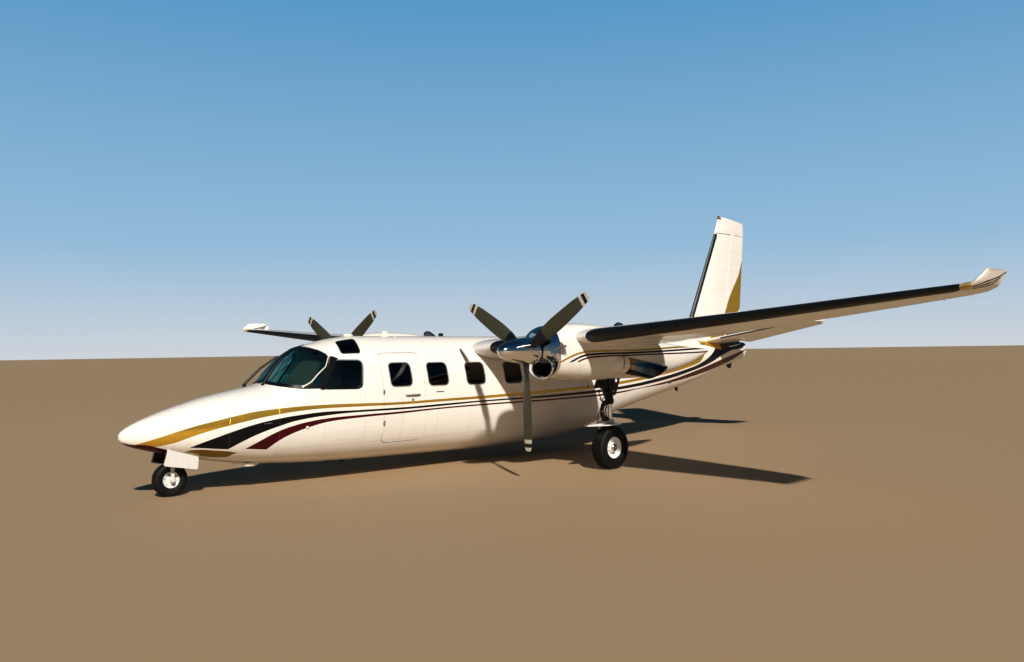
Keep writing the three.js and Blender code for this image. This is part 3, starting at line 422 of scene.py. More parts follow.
def object_point(tree):
    place_node = tree.nodes.new("ShaderNodeTexCoord")
    split = tree.nodes.new("ShaderNodeSeparateXYZ")
    tree.links.new(place_node.outputs["Object"], split.inputs[0])
    return place_node.outputs["Object"], split.outputs


def noise(tree, point, scale, detail=3.0):
    node = tree.nodes.new("ShaderNodeTexNoise")
    dial(node, {"Scale": scale, "Detail": detail})
    tree.links.new(point, node.inputs["Vector"])
    return node.outputs["Fac"]


def new_material(name):
    """A material with its tree, its shader and the piece's own coordinates."""
    finish = bpy.data.materials.new(name)
    finish.use_nodes = True
    tree = finish.node_tree
    return finish, tree, tree.nodes["Principled BSDF"], *object_point(tree)


def raised(tree, shader, height, strength, distance):
    """Relief from a height that changes over the surface."""
    bump = tree.nodes.new("ShaderNodeBump")
    dial(bump, {"Strength": strength, "Distance": distance})
    tree.links.new(height, bump.inputs["Height"])
    tree.links.new(bump.outputs[0], shader.inputs["Normal"])


# Sheet seams every frame and stringer, with a row of flush rivets on each side of a seam
sheet_seams, ends_in, ends_out = new_group(
    "sheet_seams",
    [
        ("Along", "NodeSocketFloat", 0.0),
        ("Across", "NodeSocketFloat", 0.0),
        ("Frame pitch", "NodeSocketFloat", 0.6),
        ("Stringer pitch", "NodeSocketFloat", 0.5),
    ],
    [("Seam", "NodeSocketFloat"), ("Rivet", "NodeSocketFloat")],
)
seam_masks, rivet_masks = [], []
rivet_pitch, rivet_radius, row_offset, seam_half = 0.028, 0.0034, 0.011, 0.0011
dots = [
    sums(sheet_seams, "PINGPONG", ends_in.outputs[key], rivet_pitch / 2) for key in ("Along", "Across")
]
for key, pitch, dot in (("Along", "Frame pitch", dots[1]), ("Across", "Stringer pitch", dots[0])):
    half_pitch = times(sheet_seams, ends_in.outputs[pitch], 0.5)
    away = sums(sheet_seams, "PINGPONG", ends_in.outputs[key], half_pitch)
    inverse = ramp_between(sheet_seams, away, seam_half, seam_half * 2)
    seam_masks.append(sums(sheet_seams, "SUBTRACT", 1.0, inverse))
    off_row = sums(sheet_seams, "SUBTRACT", away, row_offset)
    square = sums(sheet_seams, "MULTIPLY_ADD", off_row, off_row, times(sheet_seams, dot, dot))
    inverse = ramp_between(sheet_seams, sums(sheet_seams, "SQRT", square), rivet_radius * 0.7, rivet_radius)
    rivet_masks.append(sums(sheet_seams, "SUBTRACT", 1.0, inverse))
sheet_seams.links.new(sums(sheet_seams, "MAXIMUM", *seam_masks), ends_out.inputs["Seam"])
sheet_seams.links.new(sums(sheet_seams, "MAXIMUM", *rivet_masks), ends_out.inputs["Rivet"])

# Service dirt: soft patches and fine streaks drawn back along the airflow
grime, ends_in, ends_out = new_group(
    "grime",
    [("Point", "NodeSocketVector", None), ("Amount", "NodeSocketFloat", 0.5)],
    [("Mask", "NodeSocketFloat"), ("Streak", "NodeSocketFloat")],
)
patches = noise(grime, ends_in.outputs["Point"], 2.2, 5.0)
stretch = grime.nodes.new("ShaderNodeMapping")
stretch.inputs["Scale"].default_value = (1.2, 9.0, 22.0)
grime.links.new(ends_in.outputs["Point"], stretch.inputs["Vector"])
streaks = noise(grime, stretch.outputs[0], 1.0, 4.0)
for key, source, low, high in (("Mask", patches, 0.42, 0.8), ("Streak", streaks, 0.5, 0.8)):
    value = times(grime, ramp_between(grime, source, low, high), ends_in.outputs["Amount"])
    grime.links.new(value, ends_out.inputs[key])

white = (0.80, 0.755, 0.70, 1)
gold = (0.70, 0.43, 0.06, 1)
# The gold darkened as painted shade, for the gold patch in the shade under the nose
gold_in_painted_shade = (0.26, 0.16, 0.03, 1)
black = (0.003, 0.003, 0.005, 1)
maroon = (0.06, 0.002, 0.005, 1)


def stripe_edge(tree, along, points, high_z=2.0):
    """The height of a stripe's edge at each station, drawn as a smooth line through its points."""
    low_x, high_x = -6.6, 6.6
    share = sums(tree, "DIVIDE", sums(tree, "SUBTRACT", along, low_x), high_x - low_x)
    node = tree.nodes.new("ShaderNodeFloatCurve")
    curve = node.mapping.curves[0]
    spots = sorted(((x - low_x) / (high_x - low_x), z / high_z) for x, z in points)
    while len(curve.points) < len(spots):
        curve.points.new(0.5, 0.5)
    for point, spot in zip(curve.points, spots):
        point.location = spot
        point.handle_type = "AUTO_CLAMPED"
    node.mapping.update()
    tree.links.new(share, node.inputs["Value"])
    return times(tree, node.outputs[0], high_z)


def stripe_mask(tree, split, top, bottom, from_x=-9.0, to_x=9.0, high_z=2.0):
    """1 between a stripe's two edges, and between two stations."""
    masks = [
        sums(tree, "LESS_THAN", split["Z"], stripe_edge(tree, split["X"], top, high_z)),
        sums(tree, "GREATER_THAN", split["Z"], stripe_edge(tree, split["X"], bottom, high_z)),
        sums(tree, "GREATER_THAN", split["X"], from_x),
        sums(tree, "LESS_THAN", split["X"], to_x),
    ]
    both = times(tree, masks[0], masks[1])
    return times(tree, both, times(tree, masks[2], masks[3]))


def paint_finish(name, colour, stripes=(), along="X", across="Z", pitches=(0.6, 0.5), dirt=0.35, gloss=0.16):
    """Gloss enamel over riveted sheet, with stripes as (colour, mask maker) pairs."""
    finish, tree, shader, point, split = new_material(name)
    soil = tree.nodes.new("ShaderNodeGroup")
    soil.node_tree = grime
    soil.inputs["Amount"].default_value = dirt
    tree.links.new(point, soil.inputs["Point"])
    seams = tree.nodes.new("ShaderNodeGroup")
    seams.node_tree = sheet_seams
    dial(seams, {"Frame pitch": pitches[0], "Stringer pitch": pitches[1]})
    tree.links.new(split[along], seams.inputs["Along"])
    tree.links.new(split[across], seams.inputs["Across"])
    shade = mixed(tree, times(tree, soil.outputs["Mask"], 0.3), colour, (0.5, 0.45, 0.36, 1))
    shade = mixed(tree, times(tree, soil.outputs["Streak"], 0.3), shade, (0.4, 0.35, 0.28, 1))
    metal = 0.0
    for stripe_colour, mask_of in stripes:
        mask = mask_of(tree, split)
        shade = mixed(tree, mask, shade, stripe_colour)
        share = 0.7 if stripe_colour in (gold, gold_in_painted_shade) else 0.0
        metal = sums(tree, "MULTIPLY_ADD", mask, share, times(tree, metal, sums(tree, "SUBTRACT", 1.0, mask)))
    if stripes:
        tree.links.new(metal, shader.inputs["Metallic"])
    shade = mixed(tree, times(tree, soil.outputs["Mask"], 0.03), shade, (0.5, 0.45, 0.36, 1))
    shade = mixed(tree, times(tree, seams.outputs["Seam"], 0.45), shade, (0.16, 0.14, 0.12, 1))
    tree.links.new(shade, shader.inputs["Base Color"])
    rough = sums(tree, "MULTIPLY_ADD", soil.outputs["Mask"], 0.3, gloss)
    tree.links.new(rough, shader.inputs["Roughness"])
    dial(shader, {"Coat Weight": 0.2, "Specular IOR Level": 0.2, "Coat Roughness": 0.06})
    relief = sums(
        tree, "MULTIPLY_ADD", seams.outputs["Seam"], -1.0, times(tree, seams.outputs["Rivet"], 0.35)
    )
    raised(tree, shader, relief, 0.4, 0.0015)
    return finish


# Stripe edges on the fuselage: station x and height z
gold_top = [
    (6.6, 0.6), (6.331, 0.689), (6.153, 0.745), (5.946, 0.811), (5.731, 0.871), (5.509, 0.92),
    (5.276, 0.968), (5.035, 1.005), (4.786, 1.024), (4.534, 1.037), (4.127, 1.042), (3.691, 1.034),
    (3.059, 1.022), (2.368, 1.029), (1.621, 1.038), (0.0, 1.075), (-1.6, 1.14), (-3.034, 1.285),
    (-3.622, 1.403), (-4.419, 1.536), (-4.78, 1.62), (-6.6, 1.62),
]
gold_bottom = [
    (6.6, 0.64), (6.222, 0.634), (6.04, 0.66), (5.84, 0.728), (5.625, 0.794), (5.401, 0.848),
    (5.166, 0.896), (4.921, 0.938), (4.538, 0.98), (4.129, 0.997), (3.692, 0.994), (3.059, 0.987),
    (2.369, 0.993), (1.622, 1.0), (0.0, 1.03), (-1.6, 1.09), (-3.031, 1.219), (-3.612, 1.288),
    (-4.402, 1.427), (-4.771, 1.623), (-6.6, 1.63),
]
black_top = [
    (6.6, 0.3), (6.02, 0.5), (5.83, 0.6), (5.58, 0.698), (5.344, 0.777), (5.108, 0.843),
    (4.862, 0.891), (4.54, 0.929), (4.13, 0.952), (3.693, 0.947), (3.06, 0.946), (2.37, 0.958),
    (1.623, 0.97), (0.0, 0.99), (-1.6, 1.05), (-3.031, 1.181), (-3.613, 1.259), (-4.401, 1.396),
    (-5.088, 1.682), (-5.3, 1.99), (-6.6, 1.99),
]
black_bottom = [
    (6.6, 0.3), (5.62, 0.44), (5.40, 0.554), (5.235, 0.645), (5.045, 0.728), (4.799, 0.806),
    (4.54, 0.866), (4.13, 0.906), (3.693, 0.92), (3.06, 0.918), (2.37, 0.929), (1.623, 0.948),
    (0.0, 0.955), (-1.6, 1.0), (-3.04, 1.115), (-4.006, 1.247), (-4.825, 1.398), (-5.49, 1.583),
    (-6.371, 1.758), (-6.6, 1.78),
]
maroon_top = [
    (6.6, 0.3), (5.4, 0.42), (5.2, 0.542), (5.036, 0.632), (4.859, 0.721), (4.67, 0.785),
    (4.407, 0.839), (4.13, 0.867), (3.693, 0.88), (3.06, 0.89), (2.37, 0.907), (1.623, 0.918),
    (0.0, 0.925), (-1.6, 0.965), (-3.052, 1.077), (-4.015, 1.218), (-5.497, 1.489), (-6.6, 1.7),
]
maroon_bottom = [
    (6.6, 0.3), (5.1, 0.4), (4.937, 0.515), (4.785, 0.627), (4.6, 0.71), (4.404, 0.768),
    (4.129, 0.821), (3.692, 0.847), (3.059, 0.862), (2.369, 0.886), (1.623, 0.896), (0.0, 0.9),
    (-1.629, 0.937), (-2.241, 0.99), (-3.071, 1.038), (-4.061, 1.137), (-5.497, 1.36), (-6.6, 1.7),
]
# Bands on the tail: black, a thin white line on it, and gold at the foot of the fin
tail_black_top = [(6.6, 1.99), (-6.6, 1.99)]
tail_black_bottom = [(6.6, 1.2), (-5.35, 1.70), (-5.8, 1.66), (-6.15, 1.68), (-6.4, 1.74), (-6.6, 1.78)]
tail_line_top = [(6.6, 1.7), (-5.7, 1.74), (-6.0, 1.765), (-6.25, 1.79), (-6.6, 1.8)]
tail_line_bottom = [(6.6, 1.65), (-5.7, 1.715), (-6.0, 1.745), (-6.25, 1.78), (-6.6, 1.79)]
fin_root_top = [(6.6, 1.99), (-6.6, 1.99)]
fin_root_bottom = [(6.6, 1.6), (-4.6, 1.77), (-5.0, 1.72), (-5.35, 1.66), (-6.6, 1.6)]
# Below this line ahead of the wheel the belly is maroon; beside the wheel doors a gold patch is darkened as
# painted shade for the shade under the nose
nose_line = [
    (6.6, 0.72), (6.487, 0.688), (6.412, 0.668), (6.318, 0.664), (6.192, 0.632), (6.104, 0.602), (5.98, 0.56),
    (5.9, 0.54), (5.2, 0.3), (-6.6, 0.1)
]
patch_top = [
    (6.6, 0.3), (5.86, 0.54), (5.823, 0.565), (5.742, 0.568), (5.544, 0.548), (5.368, 0.522), (5.28, 0.5),
    (-6.6, 0.3)
]
patch_bottom = [
    (6.6, 0.3), (5.86, 0.535), (5.7, 0.49), (5.5, 0.452), (5.38, 0.45), (5.28, 0.495), (-6.6, 0.3)
]
flare_line = [(6.6, 0.62), (5.84, 0.6), (5.40, 0.554), (5.2, 0.542), (4.937, 0.515), (4.6, 0.48), (-6.6, 0.3)]
belly_floor = [(6.6, 0.02), (-6.6, 0.02)]


def cut_low(stripe_top, stripe_bottom):
    """A stripe's mask that stops along the flare line, where the belly colour begins."""
    def mask_of(tree, split):
        above = sums(tree, "GREATER_THAN", split["Z"], stripe_edge(tree, split["X"], flare_line))
        return times(tree, stripe_mask(tree, split, stripe_top, stripe_bottom), above)
    return mask_of


fuselage_stripes = [
    (gold, lambda tree, split: stripe_mask(tree, split, gold_top, gold_bottom, -4.78)),
    (black, cut_low(black_top, black_bottom)),
    (maroon, cut_low(maroon_top, maroon_bottom)),
    (maroon, lambda tree, split: stripe_mask(tree, split, nose_line, belly_floor, 5.86, 6.51)),
    # Gold patch beside the nose wheel doors, darkened as painted shade
    (gold_in_painted_shade, lambda tree, split: stripe_mask(tree, split, patch_top, patch_bottom, 5.28, 5.86)),
    (black, lambda tree, split: stripe_mask(tree, split, tail_black_top, tail_black_bottom, -6.6, -5.35)),
    (white, lambda tree, split: stripe_mask(tree, split, tail_line_top, tail_line_bottom, -6.25, -5.7)),
    (gold, lambda tree, split: stripe_mask(tree, split, fin_root_top, fin_root_bottom, -5.35, -4.62)),
]
hull_paint = paint_finish("hull_paint", white, fuselage_stripes)

# Fuselage openings: windscreen, side and roof windows of the cockpit, cabin windows, door
# and nose wheel bay are cut through the skin; the cabin is a hollow shell behind the nose.
window_centres = [(3.007, 1.401), (2.366, 1.391), (1.668, 1.381), (0.919, 1.37)]
window_size = (0.36, 0.33)
window_corner = 0.08
side_window_corners = [(4.185, 1.25), (3.64, 1.236), (3.568, 1.612), (3.936, 1.622)]
side_window_outline = rounded_outline(side_window_corners, 0.045)[:7]
side_window_outline += rounded_outline(side_window_corners, 0.085)[7:21]
side_window_outline += rounded_outline(side_window_corners, 0.045)[21:]
eyebrow_outline = rounded_outline(
    [(3.824, 0.452), (3.796, 0.252), (3.528, 0.25), (3.56, 0.482)], 0.03
)
windscreen_front = [
    (0.022, 1.9), (0.022, 1.342), (0.17, 1.325), (0.33, 1.306), (0.49, 1.284), (0.59, 1.257),
    (0.72, 1.25), (0.72, 1.9),
]
windscreen_side = [
    (4.235, 1.24), (4.95, 1.24), (4.95, 1.85), (4.25, 1.85), (4.215, 1.808), (4.106, 1.757),
    (4.04, 1.705), (4.02, 1.655),
]


def window_outline(centre, gap=0.0):
    half_w, half_h = window_size[0] / 2, window_size[1] / 2
    x, z = centre
    corners = [
        (x - half_w, z - half_h), (x + half_w, z - half_h), (x + half_w, z + half_h), (x - half_w, z + half_h)
    ]
    return grown(
        rounded_outline(corners, window_corner), gap
    ) if gap else rounded_outline(corners, window_corner)


def windscreen_space(gap):
    front = [Vector(p) for p in windscreen_front]
    side = [Vector(p) for p in windscreen_side]
    return within(
        prism(grown(front, gap), "YZ", 3.9, 4.94), prism(grown(side, gap), "XZ", 0.0, 0.8)
    )


door_front, door_rear, door_bottom, door_top, door_corner = 3.318, 2.612, 0.462, 1.706, 0.09
door_hinge_y = 0.716


def skin_half_width(x, z):
    """Half width of the skin at a station and height."""
    wide = hull_wide(x)
    height = hull_top(x) - wide if z > wide else wide - hull_bottom(x)
    power = 2.25 if z > wide else 2.4
    return hull_half(x) * (1 - min(1.0, abs(z - wide) / height) ** power) ** (1 / power)


def door_space(gap):
    """The doorway's form: square at the front, drawn in at the rear so that the door swings out."""
    low, high = door_bottom + gap, door_top - gap
    levels = []
    steps = [i / 7 for i in range(8)]
    drawn = [door_corner * (1 - math.sqrt(1 - (1 - t) ** 2)) for t in steps]
    levels += [(low + door_corner * t, d) for t, d in zip(steps, drawn)]
    levels += [(low + (high - low) * i / 8, 0.0) for i in range(1, 8)]
    levels += [(high - door_corner * t, d) for t, d in zip(reversed(steps), reversed(drawn))]
    sections = []
    for z, draw_in in levels:
        skin = skin_half_width((door_front + door_rear) / 2, z)
        taper = (door_hinge_y - skin + 0.1) / (door_front - door_rear)
        front, rear = door_front - gap - draw_in, door_rear + gap + draw_in
        sections.append([
            Vector((front, 0.9, z)), Vector((rear - taper * (0.9 - skin), 0.9, z)),
            Vector((rear - taper * (0.3 - skin), 0.3, z)), Vector((front, 0.3, z)),
        ])
    return loft(sections)


def new_finish(name, colour, roughness, metallic=0.0, mottle=0.25, scale=40.0, relief=0.1):
    """A plain finish whose shade and roughness vary a little over the surface."""
    finish, tree, shader, point, split = new_material(name)
    grain = noise(tree, point, scale, 4.0)
    darker = tuple(value * (1 - mottle) for value in colour[:3]) + (1,)
    tree.links.new(mixed(tree, grain, colour, darker), shader.inputs["Base Color"])
    tree.links.new(
        sums(tree, "MULTIPLY_ADD", grain, roughness * 0.5, roughness * 0.75), shader.inputs["Roughness"]
    )
    shader.inputs["Metallic"].default_value = metallic
    raised(tree, shader, grain, relief, 0.002)
    return finish


lining = new_finish("cabin_lining", (0.42, 0.37, 0.29, 1), 0.8, mottle=0.15, scale=60)

radome_x, cabin_front, cabin_rear = 6.15, 4.95, -0.9
skin_parts = {
    "nose_cone": (radome_x + 0.0012, hull_tip, "radome"),
    "nose_skin": (cabin_front + 0.0008, radome_x, "nose_section"),
    "tail_skin": (-6.55, cabin_rear - 0.0008, "tail_section"),
}
for name, (from_x, to_x, node) in skin_parts.items():
    form = hull(from_x, to_x)
    if name == "nose_skin":
        form = less(
            form, box((5.62, -0.13, 0.2), (6.1, 0.13, 0.8)), box((5.5, -0.11, 0.62), (5.64, 0.11, 0.78))
        )
    place(name, form, hull_paint, "body_paint", [node], angle=35)

cabin_inside = hull(cabin_rear + 0.06, cabin_front - 0.12, -0.05, 0.12)
cabin_inside.materials.append(lining)
cabin_form = hull(cabin_rear, cabin_front)
cabin_form.materials.append(hull_paint)
side_cuts = [
    prism(side_window_outline, "XZ", 0.0, 1.0), prism(eyebrow_outline, "XY", 1.5, 2.1), windscreen_space(0.0)
]
cuts = [cabin_inside, door_space(0.0), *side_cuts, *[mirrored(cut) for cut in side_cuts]]
cuts += [prism(window_outline(centre), "XZ", 0.0, 1.0) for centre in window_centres[1:]]
cuts += [mirrored(prism(window_outline(centre), "XZ", 0.0, 1.0)) for centre in window_centres]
place("cabin_skin", less(cabin_form, *cuts), hull_paint, "body_paint", ["cabin_shell"], angle=35)

# Cabin door: a curved skin panel on a pressed frame, hung at its front edge on two knuckle
# hinges, with a flush pull handle behind the window.
door_inside = hull(2.3, 3.6, -0.05, 0.12)
door_inside.materials.append(lining)
door_form = hull(2.3, 3.6)
door_form.materials.append(hull_paint)
door_form = less(
    within(door_form, door_space(0.006)), door_inside,
    prism(window_outline(window_centres[0]), "XZ", 0.0, 1.0)
)
place("door_leaf", door_form, hull_paint, "body_paint", ["cabin_door"], body="cabin_door", angle=35)

# Wings: riveted light-alloy sheet on two spars, with black rubber boots along the leading
# edge, white tips that turn up into winglets, and flaps and ailerons on the rear spar.
# Section y, leading edge x, chord, leading edge z, thickness in thousandths, then cant and
# incidence in degrees
wing_table = [
    (330, 1572, 2330, 1718, 145, 4, 2.6),
    (850, 1569, 2215, 1753, 142, 4, 2.6),
    (2350, 1564, 1890, 1854, 135, 4, 2.6),
    (4450, 1553, 1430, 1997, 125, 4, 2.5),
    (7200, 1539, 800, 2208, 115, 4, 1.7),
    (7480, 1552, 708, 2229, 110, 8, 1),
    (7590, 1580, 642, 2244, 100, 30, 0),
    (7640, 1570, 602, 2284, 90, 60, 0),
    (7685, 1462, 515, 2374, 80, 70, 0),
    (7697, 1436, 470, 2396, 70, 70, 0),
]
foil_sides = 60
foil_trailing = 0.004


def foil_half(thickness, s):
    """Half a foil's thickness at a share of its chord, as a share of the chord."""
    curve = 0.2969 * math.sqrt(s) - 0.126 * s - 0.3516 * s**2 + 0.2843 * s**3 - 0.1036 * s**4
    return 5 * thickness * curve + foil_trailing * s


def foil_ring(x, y, z, chord, thickness, cant, incidence, camber, upright=False, grow=0.0):
    """One foil section, trailing edge first, over the top, round the nose and back underneath."""
    ring = []
    half = foil_sides // 2
    lean = math.radians(cant)
    for i in range(foil_sides):
        over = i < half
        step = i if over else foil_sides - 1 - i
        s = 0.5 * (1 + math.cos(math.pi * step / (half - 0.5)))
        mean = camber * 4 * s * (1 - s)
        away = foil_half(thickness, s) + grow / chord
        lift = (mean + (away if over else -away) - s * math.sin(math.radians(incidence))) * chord
        along = x - s * chord + grow * (1 - 2 * s)
        if upright:
            ring.append(Vector((along, y + lift, z)))
        else:
            ring.append(Vector((along, y - lift * math.sin(lean), z + lift * math.cos(lean))))
    return ring


def drawn_through(rows, extra):
    """More rows between the given ones, on a smooth curve by distance along the span."""
    spots = [0.0]
    for a, b in zip(rows, rows[1:]):
        spots.append(spots[-1] + math.hypot(b[0] - a[0], b[3] - a[3]))
    keyed = [(spot, *row) for spot, row in zip(spots, rows)]
    columns = [smooth_column(keyed, key) for key in range(1, len(rows[0]) + 1)]
    filled = []
    for (a, b), count in zip(zip(spots, spots[1:]), extra):
        filled += [(a + (b - a) * i / (count + 1)) * mm for i in range(count + 1)]
    filled.append(spots[-1] * mm)
    return [tuple(column(spot) / mm for column in columns) for spot in filled]


wing_rows = drawn_through(wing_table, [4, 8, 10, 14, 3, 4, 4, 5, 1])


def foil_body(rows, camber, upright=False, grow=0.0):
    sections = []
    for at, x, chord, z, thickness, cant, incidence in rows:
        place_y, place_z = (0.0, at * mm) if upright else (at * mm, z * mm)
        sections.append(foil_ring(
            x * mm, place_y, place_z, chord * mm, thickness * mm, cant, incidence, camber, upright, grow,
        ))
    return loft(sections)


def table_at(table, at, key):
    """A column of a table, straight between its rows."""
    rows = sorted(table)
    i = min(max(bisect_right([row[0] for row in rows], at) - 1, 0), len(rows) - 2)
    a, b = rows[i], rows[i + 1]
    return a[key] + (b[key] - a[key]) * (at - a[0]) / (b[0] - a[0])


def hinge_ends(table, ends, camber, upright=False):
    """A hinge line's two ends on the middle of the foil, each with the foil's half thickness there."""
    found = []
    for at, share in ends:
        chord = table_at(table, at, 2) * mm
        x = table_at(table, at, 1) * mm - share * chord
        radius = foil_half(table_at(table, at, 4) * mm, share) * chord
        if upright:
            found.append((Vector((x, 0.0, at * mm)), radius))
        else:
            rise = camber * 4 * share * (1 - share) - share * math.sin(math.radians(table_at(table, at, 6)))
            found.append((Vector((x, at * mm, table_at(table, at, 3) * mm + rise * chord)), radius))
    return found


def hinge_space(ends, gap, nose_gap):
    """The space aft of a hinge line, square to it, with a round front."""
    (start, start_radius), (end, end_radius) = ends
    along = (end - start).normalized()
    aft = (Vector((-1.0, 0.0, 0.0)) + along * along.x).normalized()
    over = along.cross(aft).normalized()
    deep, tall, turns = 1.5, 0.4, 14
    sections = []
    for point, radius in (
        (start - along * gap, start_radius + nose_gap), (end + along * gap, end_radius + nose_gap)
    ):
        ring = [point + over * tall, point + aft * deep + over * tall]
        ring += [point + aft * deep - over * tall, point - over * tall]
        for i in range(turns + 1):
            angle = -math.pi / 2 + math.pi * i / turns
            ring.append(point - aft * math.cos(angle) * radius + over * math.sin(angle) * radius)
        sections.append(ring)
    return loft(sections)


wing_camber = 0.02
moving_gap = 0.008
flap_hinges = {
    "flap_inner": hinge_ends(wing_table, [(800, 0.74), (1980, 0.74)], wing_camber),
    "flap_outer": hinge_ends(wing_table, [(2720, 0.74), (4410, 0.74)], wing_camber),
    "aileron": hinge_ends(wing_table, [(4500, 0.76), (7120, 0.76)], wing_camber),
}
winglet_lines = [
    [(1.617, 2.198), (1.543, 2.232), (1.42, 2.274), (1.245, 2.309), (1.065, 2.35), (0.958, 2.388)],
    [(1.569, 2.2), (1.497, 2.221), (1.373, 2.257), (1.197, 2.292), (1.04, 2.337)],
    [(1.522, 2.202), (1.449, 2.218), (1.3, 2.247), (1.147, 2.276), (1.068, 2.308)],
]


def winglet_stripe(line):
    """A thin curved line on the turned-up tip."""
    low = [(x, z - 0.017) for x, z in line]

    def mask_of(tree, split):
        tip = sums(tree, "GREATER_THAN", sums(tree, "ABSOLUTE", split["Y"]), 7.56)
        return times(tree, stripe_mask(tree, split, line, low, line[-1][0], line[0][0], 3.0), tip)
    return mask_of


winglet_stripes = [(black, winglet_stripe(line)) for line in winglet_lines]
wing_paint = paint_finish(
    "wing_paint", white, winglet_stripes, along="Y", across="X", pitches=(0.55, 0.46), dirt=0.5
)
surface_paint = paint_finish("surface_paint", white, along="Y", across="X", pitches=(0.42, 5.0), dirt=0.5)
wing_form = foil_body(wing_rows, wing_camber)
spaces = [hinge_space(ends, moving_gap, moving_gap) for ends in flap_hinges.values()]
fixed_wing = less(wing_form.copy(), *spaces, hull(-1.5, 2.4, -0.01, 0.12))
place_pair("wing_skin", fixed_wing, wing_paint, "body_paint", ["wing"], angle=30)
for name, ends in flap_hinges.items():
    surface = within(wing_form.copy(), hinge_space(ends, 0.0, -0.0004))
    place_pair(name + "_skin", surface, surface_paint, "body_paint", [name], body=name + "_", angle=30)

# De-icing boots: black rubber sheets bonded round the leading edge, one between fuselage and
# nacelle and one from outboard of the nacelle to the tip, each with rounded inner corners.
def rubber_finish():
    """Satin black rubber with a fine grain, dusty patches and chordwise stitch lines."""
    finish, tree, shader, point, split = new_material("boot_rubber")
    dust = noise(tree, point, 3.0, 5.0)
    tree.links.new(
        mixed(tree, dust, (0.002, 0.002, 0.003, 1), (0.010, 0.009, 0.008, 1)), shader.inputs["Base Color"]
    )
    tree.links.new(sums(tree, "MULTIPLY_ADD", dust, 0.3, 0.3), shader.inputs["Roughness"])
    ribs = sums(tree, "PINGPONG", split["X"], 0.02)
    line = ramp_between(tree, ribs, 0.0, 0.0025)
    grain = noise(tree, point, 420.0, 2.0)
    raised(tree, shader, sums(tree, "MULTIPLY_ADD", grain, 0.2, line), 0.25, 0.0008)
    return finish


boot_rubber = rubber_finish()
boot_skin = foil_body(wing_rows, wing_camber, grow=0.0016)
boot_plans = {
    "boot_inner": rounded_outline([(1.75, 0.89), (1.44, 0.89), (1.44, 1.99), (1.75, 1.99)], 0.07),
    "boot_outer": rounded_outline([(1.75, 2.83), (1.4, 2.83), (1.462, 7.475), (1.75, 7.55)], 0.09),
}
for name, plan in boot_plans.items():
    place_pair(
        name, within(boot_skin.copy(), prism(plan, "XY", 1.4, 2.6)), boot_rubber, "tyre_rubber", angle=30
    )

# Engine nacelles: sheet cowlings over and under the wing, hinged on the firewall, with
# three short stripes that turn down at the front. The wheel bay opens at the bottom.
# Station x, top z, bottom z, half width, z of the greatest width
nacelle_table = [
    (2050, 1900, 1500, 190, 1690),
    (2020, 1955, 1420, 245, 1680),
    (1970, 1995, 1366, 285, 1660),
    (1900, 2025, 1337, 310, 1640),
    (1860, 2035, 1330, 320, 1635),
    (1600, 2060, 1308, 330, 1625),
    (1300, 2073, 1288, 335, 1620),
    (850, 2056, 1280, 330, 1615),
    (500, 2012, 1281, 320, 1605),
    (0, 1905, 1284, 300, 1590),
    (-600, 1800, 1335, 240, 1590),
    (-1200, 1740, 1450, 150, 1610),
    (-1800, 1690, 1640, 30, 1665),
]
nacelle_y = 2.35
nacelle_power = 2.5
nacelle_top, nacelle_bottom, nacelle_half, nacelle_wide = [
    smooth_column(nacelle_table, key) for key in (1, 2, 3, 4)
]


def nacelle(from_x, to_x, grow=0.0, step=0.05):
    count = max(int((to_x - from_x) / step), 2)
    sections = []
    for i in range(count + 1):
        x = to_x + (from_x - to_x) * i / count
        sections.append(rounded_ring(
            nacelle_y, nacelle_top(x) + grow, nacelle_bottom(x) - grow, nacelle_half(x) + grow,
            nacelle_wide(x), (nacelle_power, nacelle_power), 72, x,
        ))
    return loft(sections)


nacelle_gold = [
    (1.95, 1.5), (1.874, 1.553), (1.75, 1.61), (1.609, 1.653), (1.46, 1.685), (1.317, 1.697), (0.27, 1.707),
    (-0.913, 1.741), (-1.8, 1.76)
]
nacelle_black = [
    (1.78, 1.49), (1.706, 1.549), (1.61, 1.59), (1.514, 1.625), (1.42, 1.645), (1.318, 1.656), (0.271, 1.671),
    (-1.245, 1.707), (-1.8, 1.72)
]
nacelle_maroon = [
    (1.65, 1.49), (1.573, 1.547), (1.48, 1.583), (1.4, 1.602), (1.319, 1.616), (0.272, 1.635),
    (-1.375, 1.652), (-1.8, 1.66)
]


def nacelle_stripe(line, width):
    """A stripe of even width under a line, cut off level where it starts."""
    low = []
    for i, (x, z) in enumerate(line):
        before, after = line[max(i - 1, 0)], line[min(i + 1, len(line) - 1)]
        slope = (after[1] - before[1]) / (after[0] - before[0])
        low.append((x, z - width * math.hypot(1.0, slope)))

    def mask_of(tree, split):
        above = sums(tree, "GREATER_THAN", split["Z"], 1.546)
        return times(tree, stripe_mask(tree, split, line, low, -2.0, 2.0), above)
    return mask_of


nacelle_stripes = [
    (gold, nacelle_stripe(nacelle_gold, 0.026)),
    (black, nacelle_stripe(nacelle_black, 0.027)),
    (maroon, nacelle_stripe(nacelle_maroon, 0.022)),
]
nacelle_paint = paint_finish("nacelle_paint", white, nacelle_stripes, pitches=(0.5, 5.0), dirt=0.6)
cowl_seam, cowl_front = 1.86, 2.05
nacelle_form = less(
    nacelle(-1.8, cowl_seam - 0.0004),
    box((0.405, nacelle_y - 0.12, 1.1), (0.745, nacelle_y + 0.12, 1.6)),
    nacelle(1.3, cowl_seam + 0.1, -0.022),
)
place_pair("nacelle_skin", nacelle_form, nacelle_paint, "body_paint", ["nacelle"], angle=35)

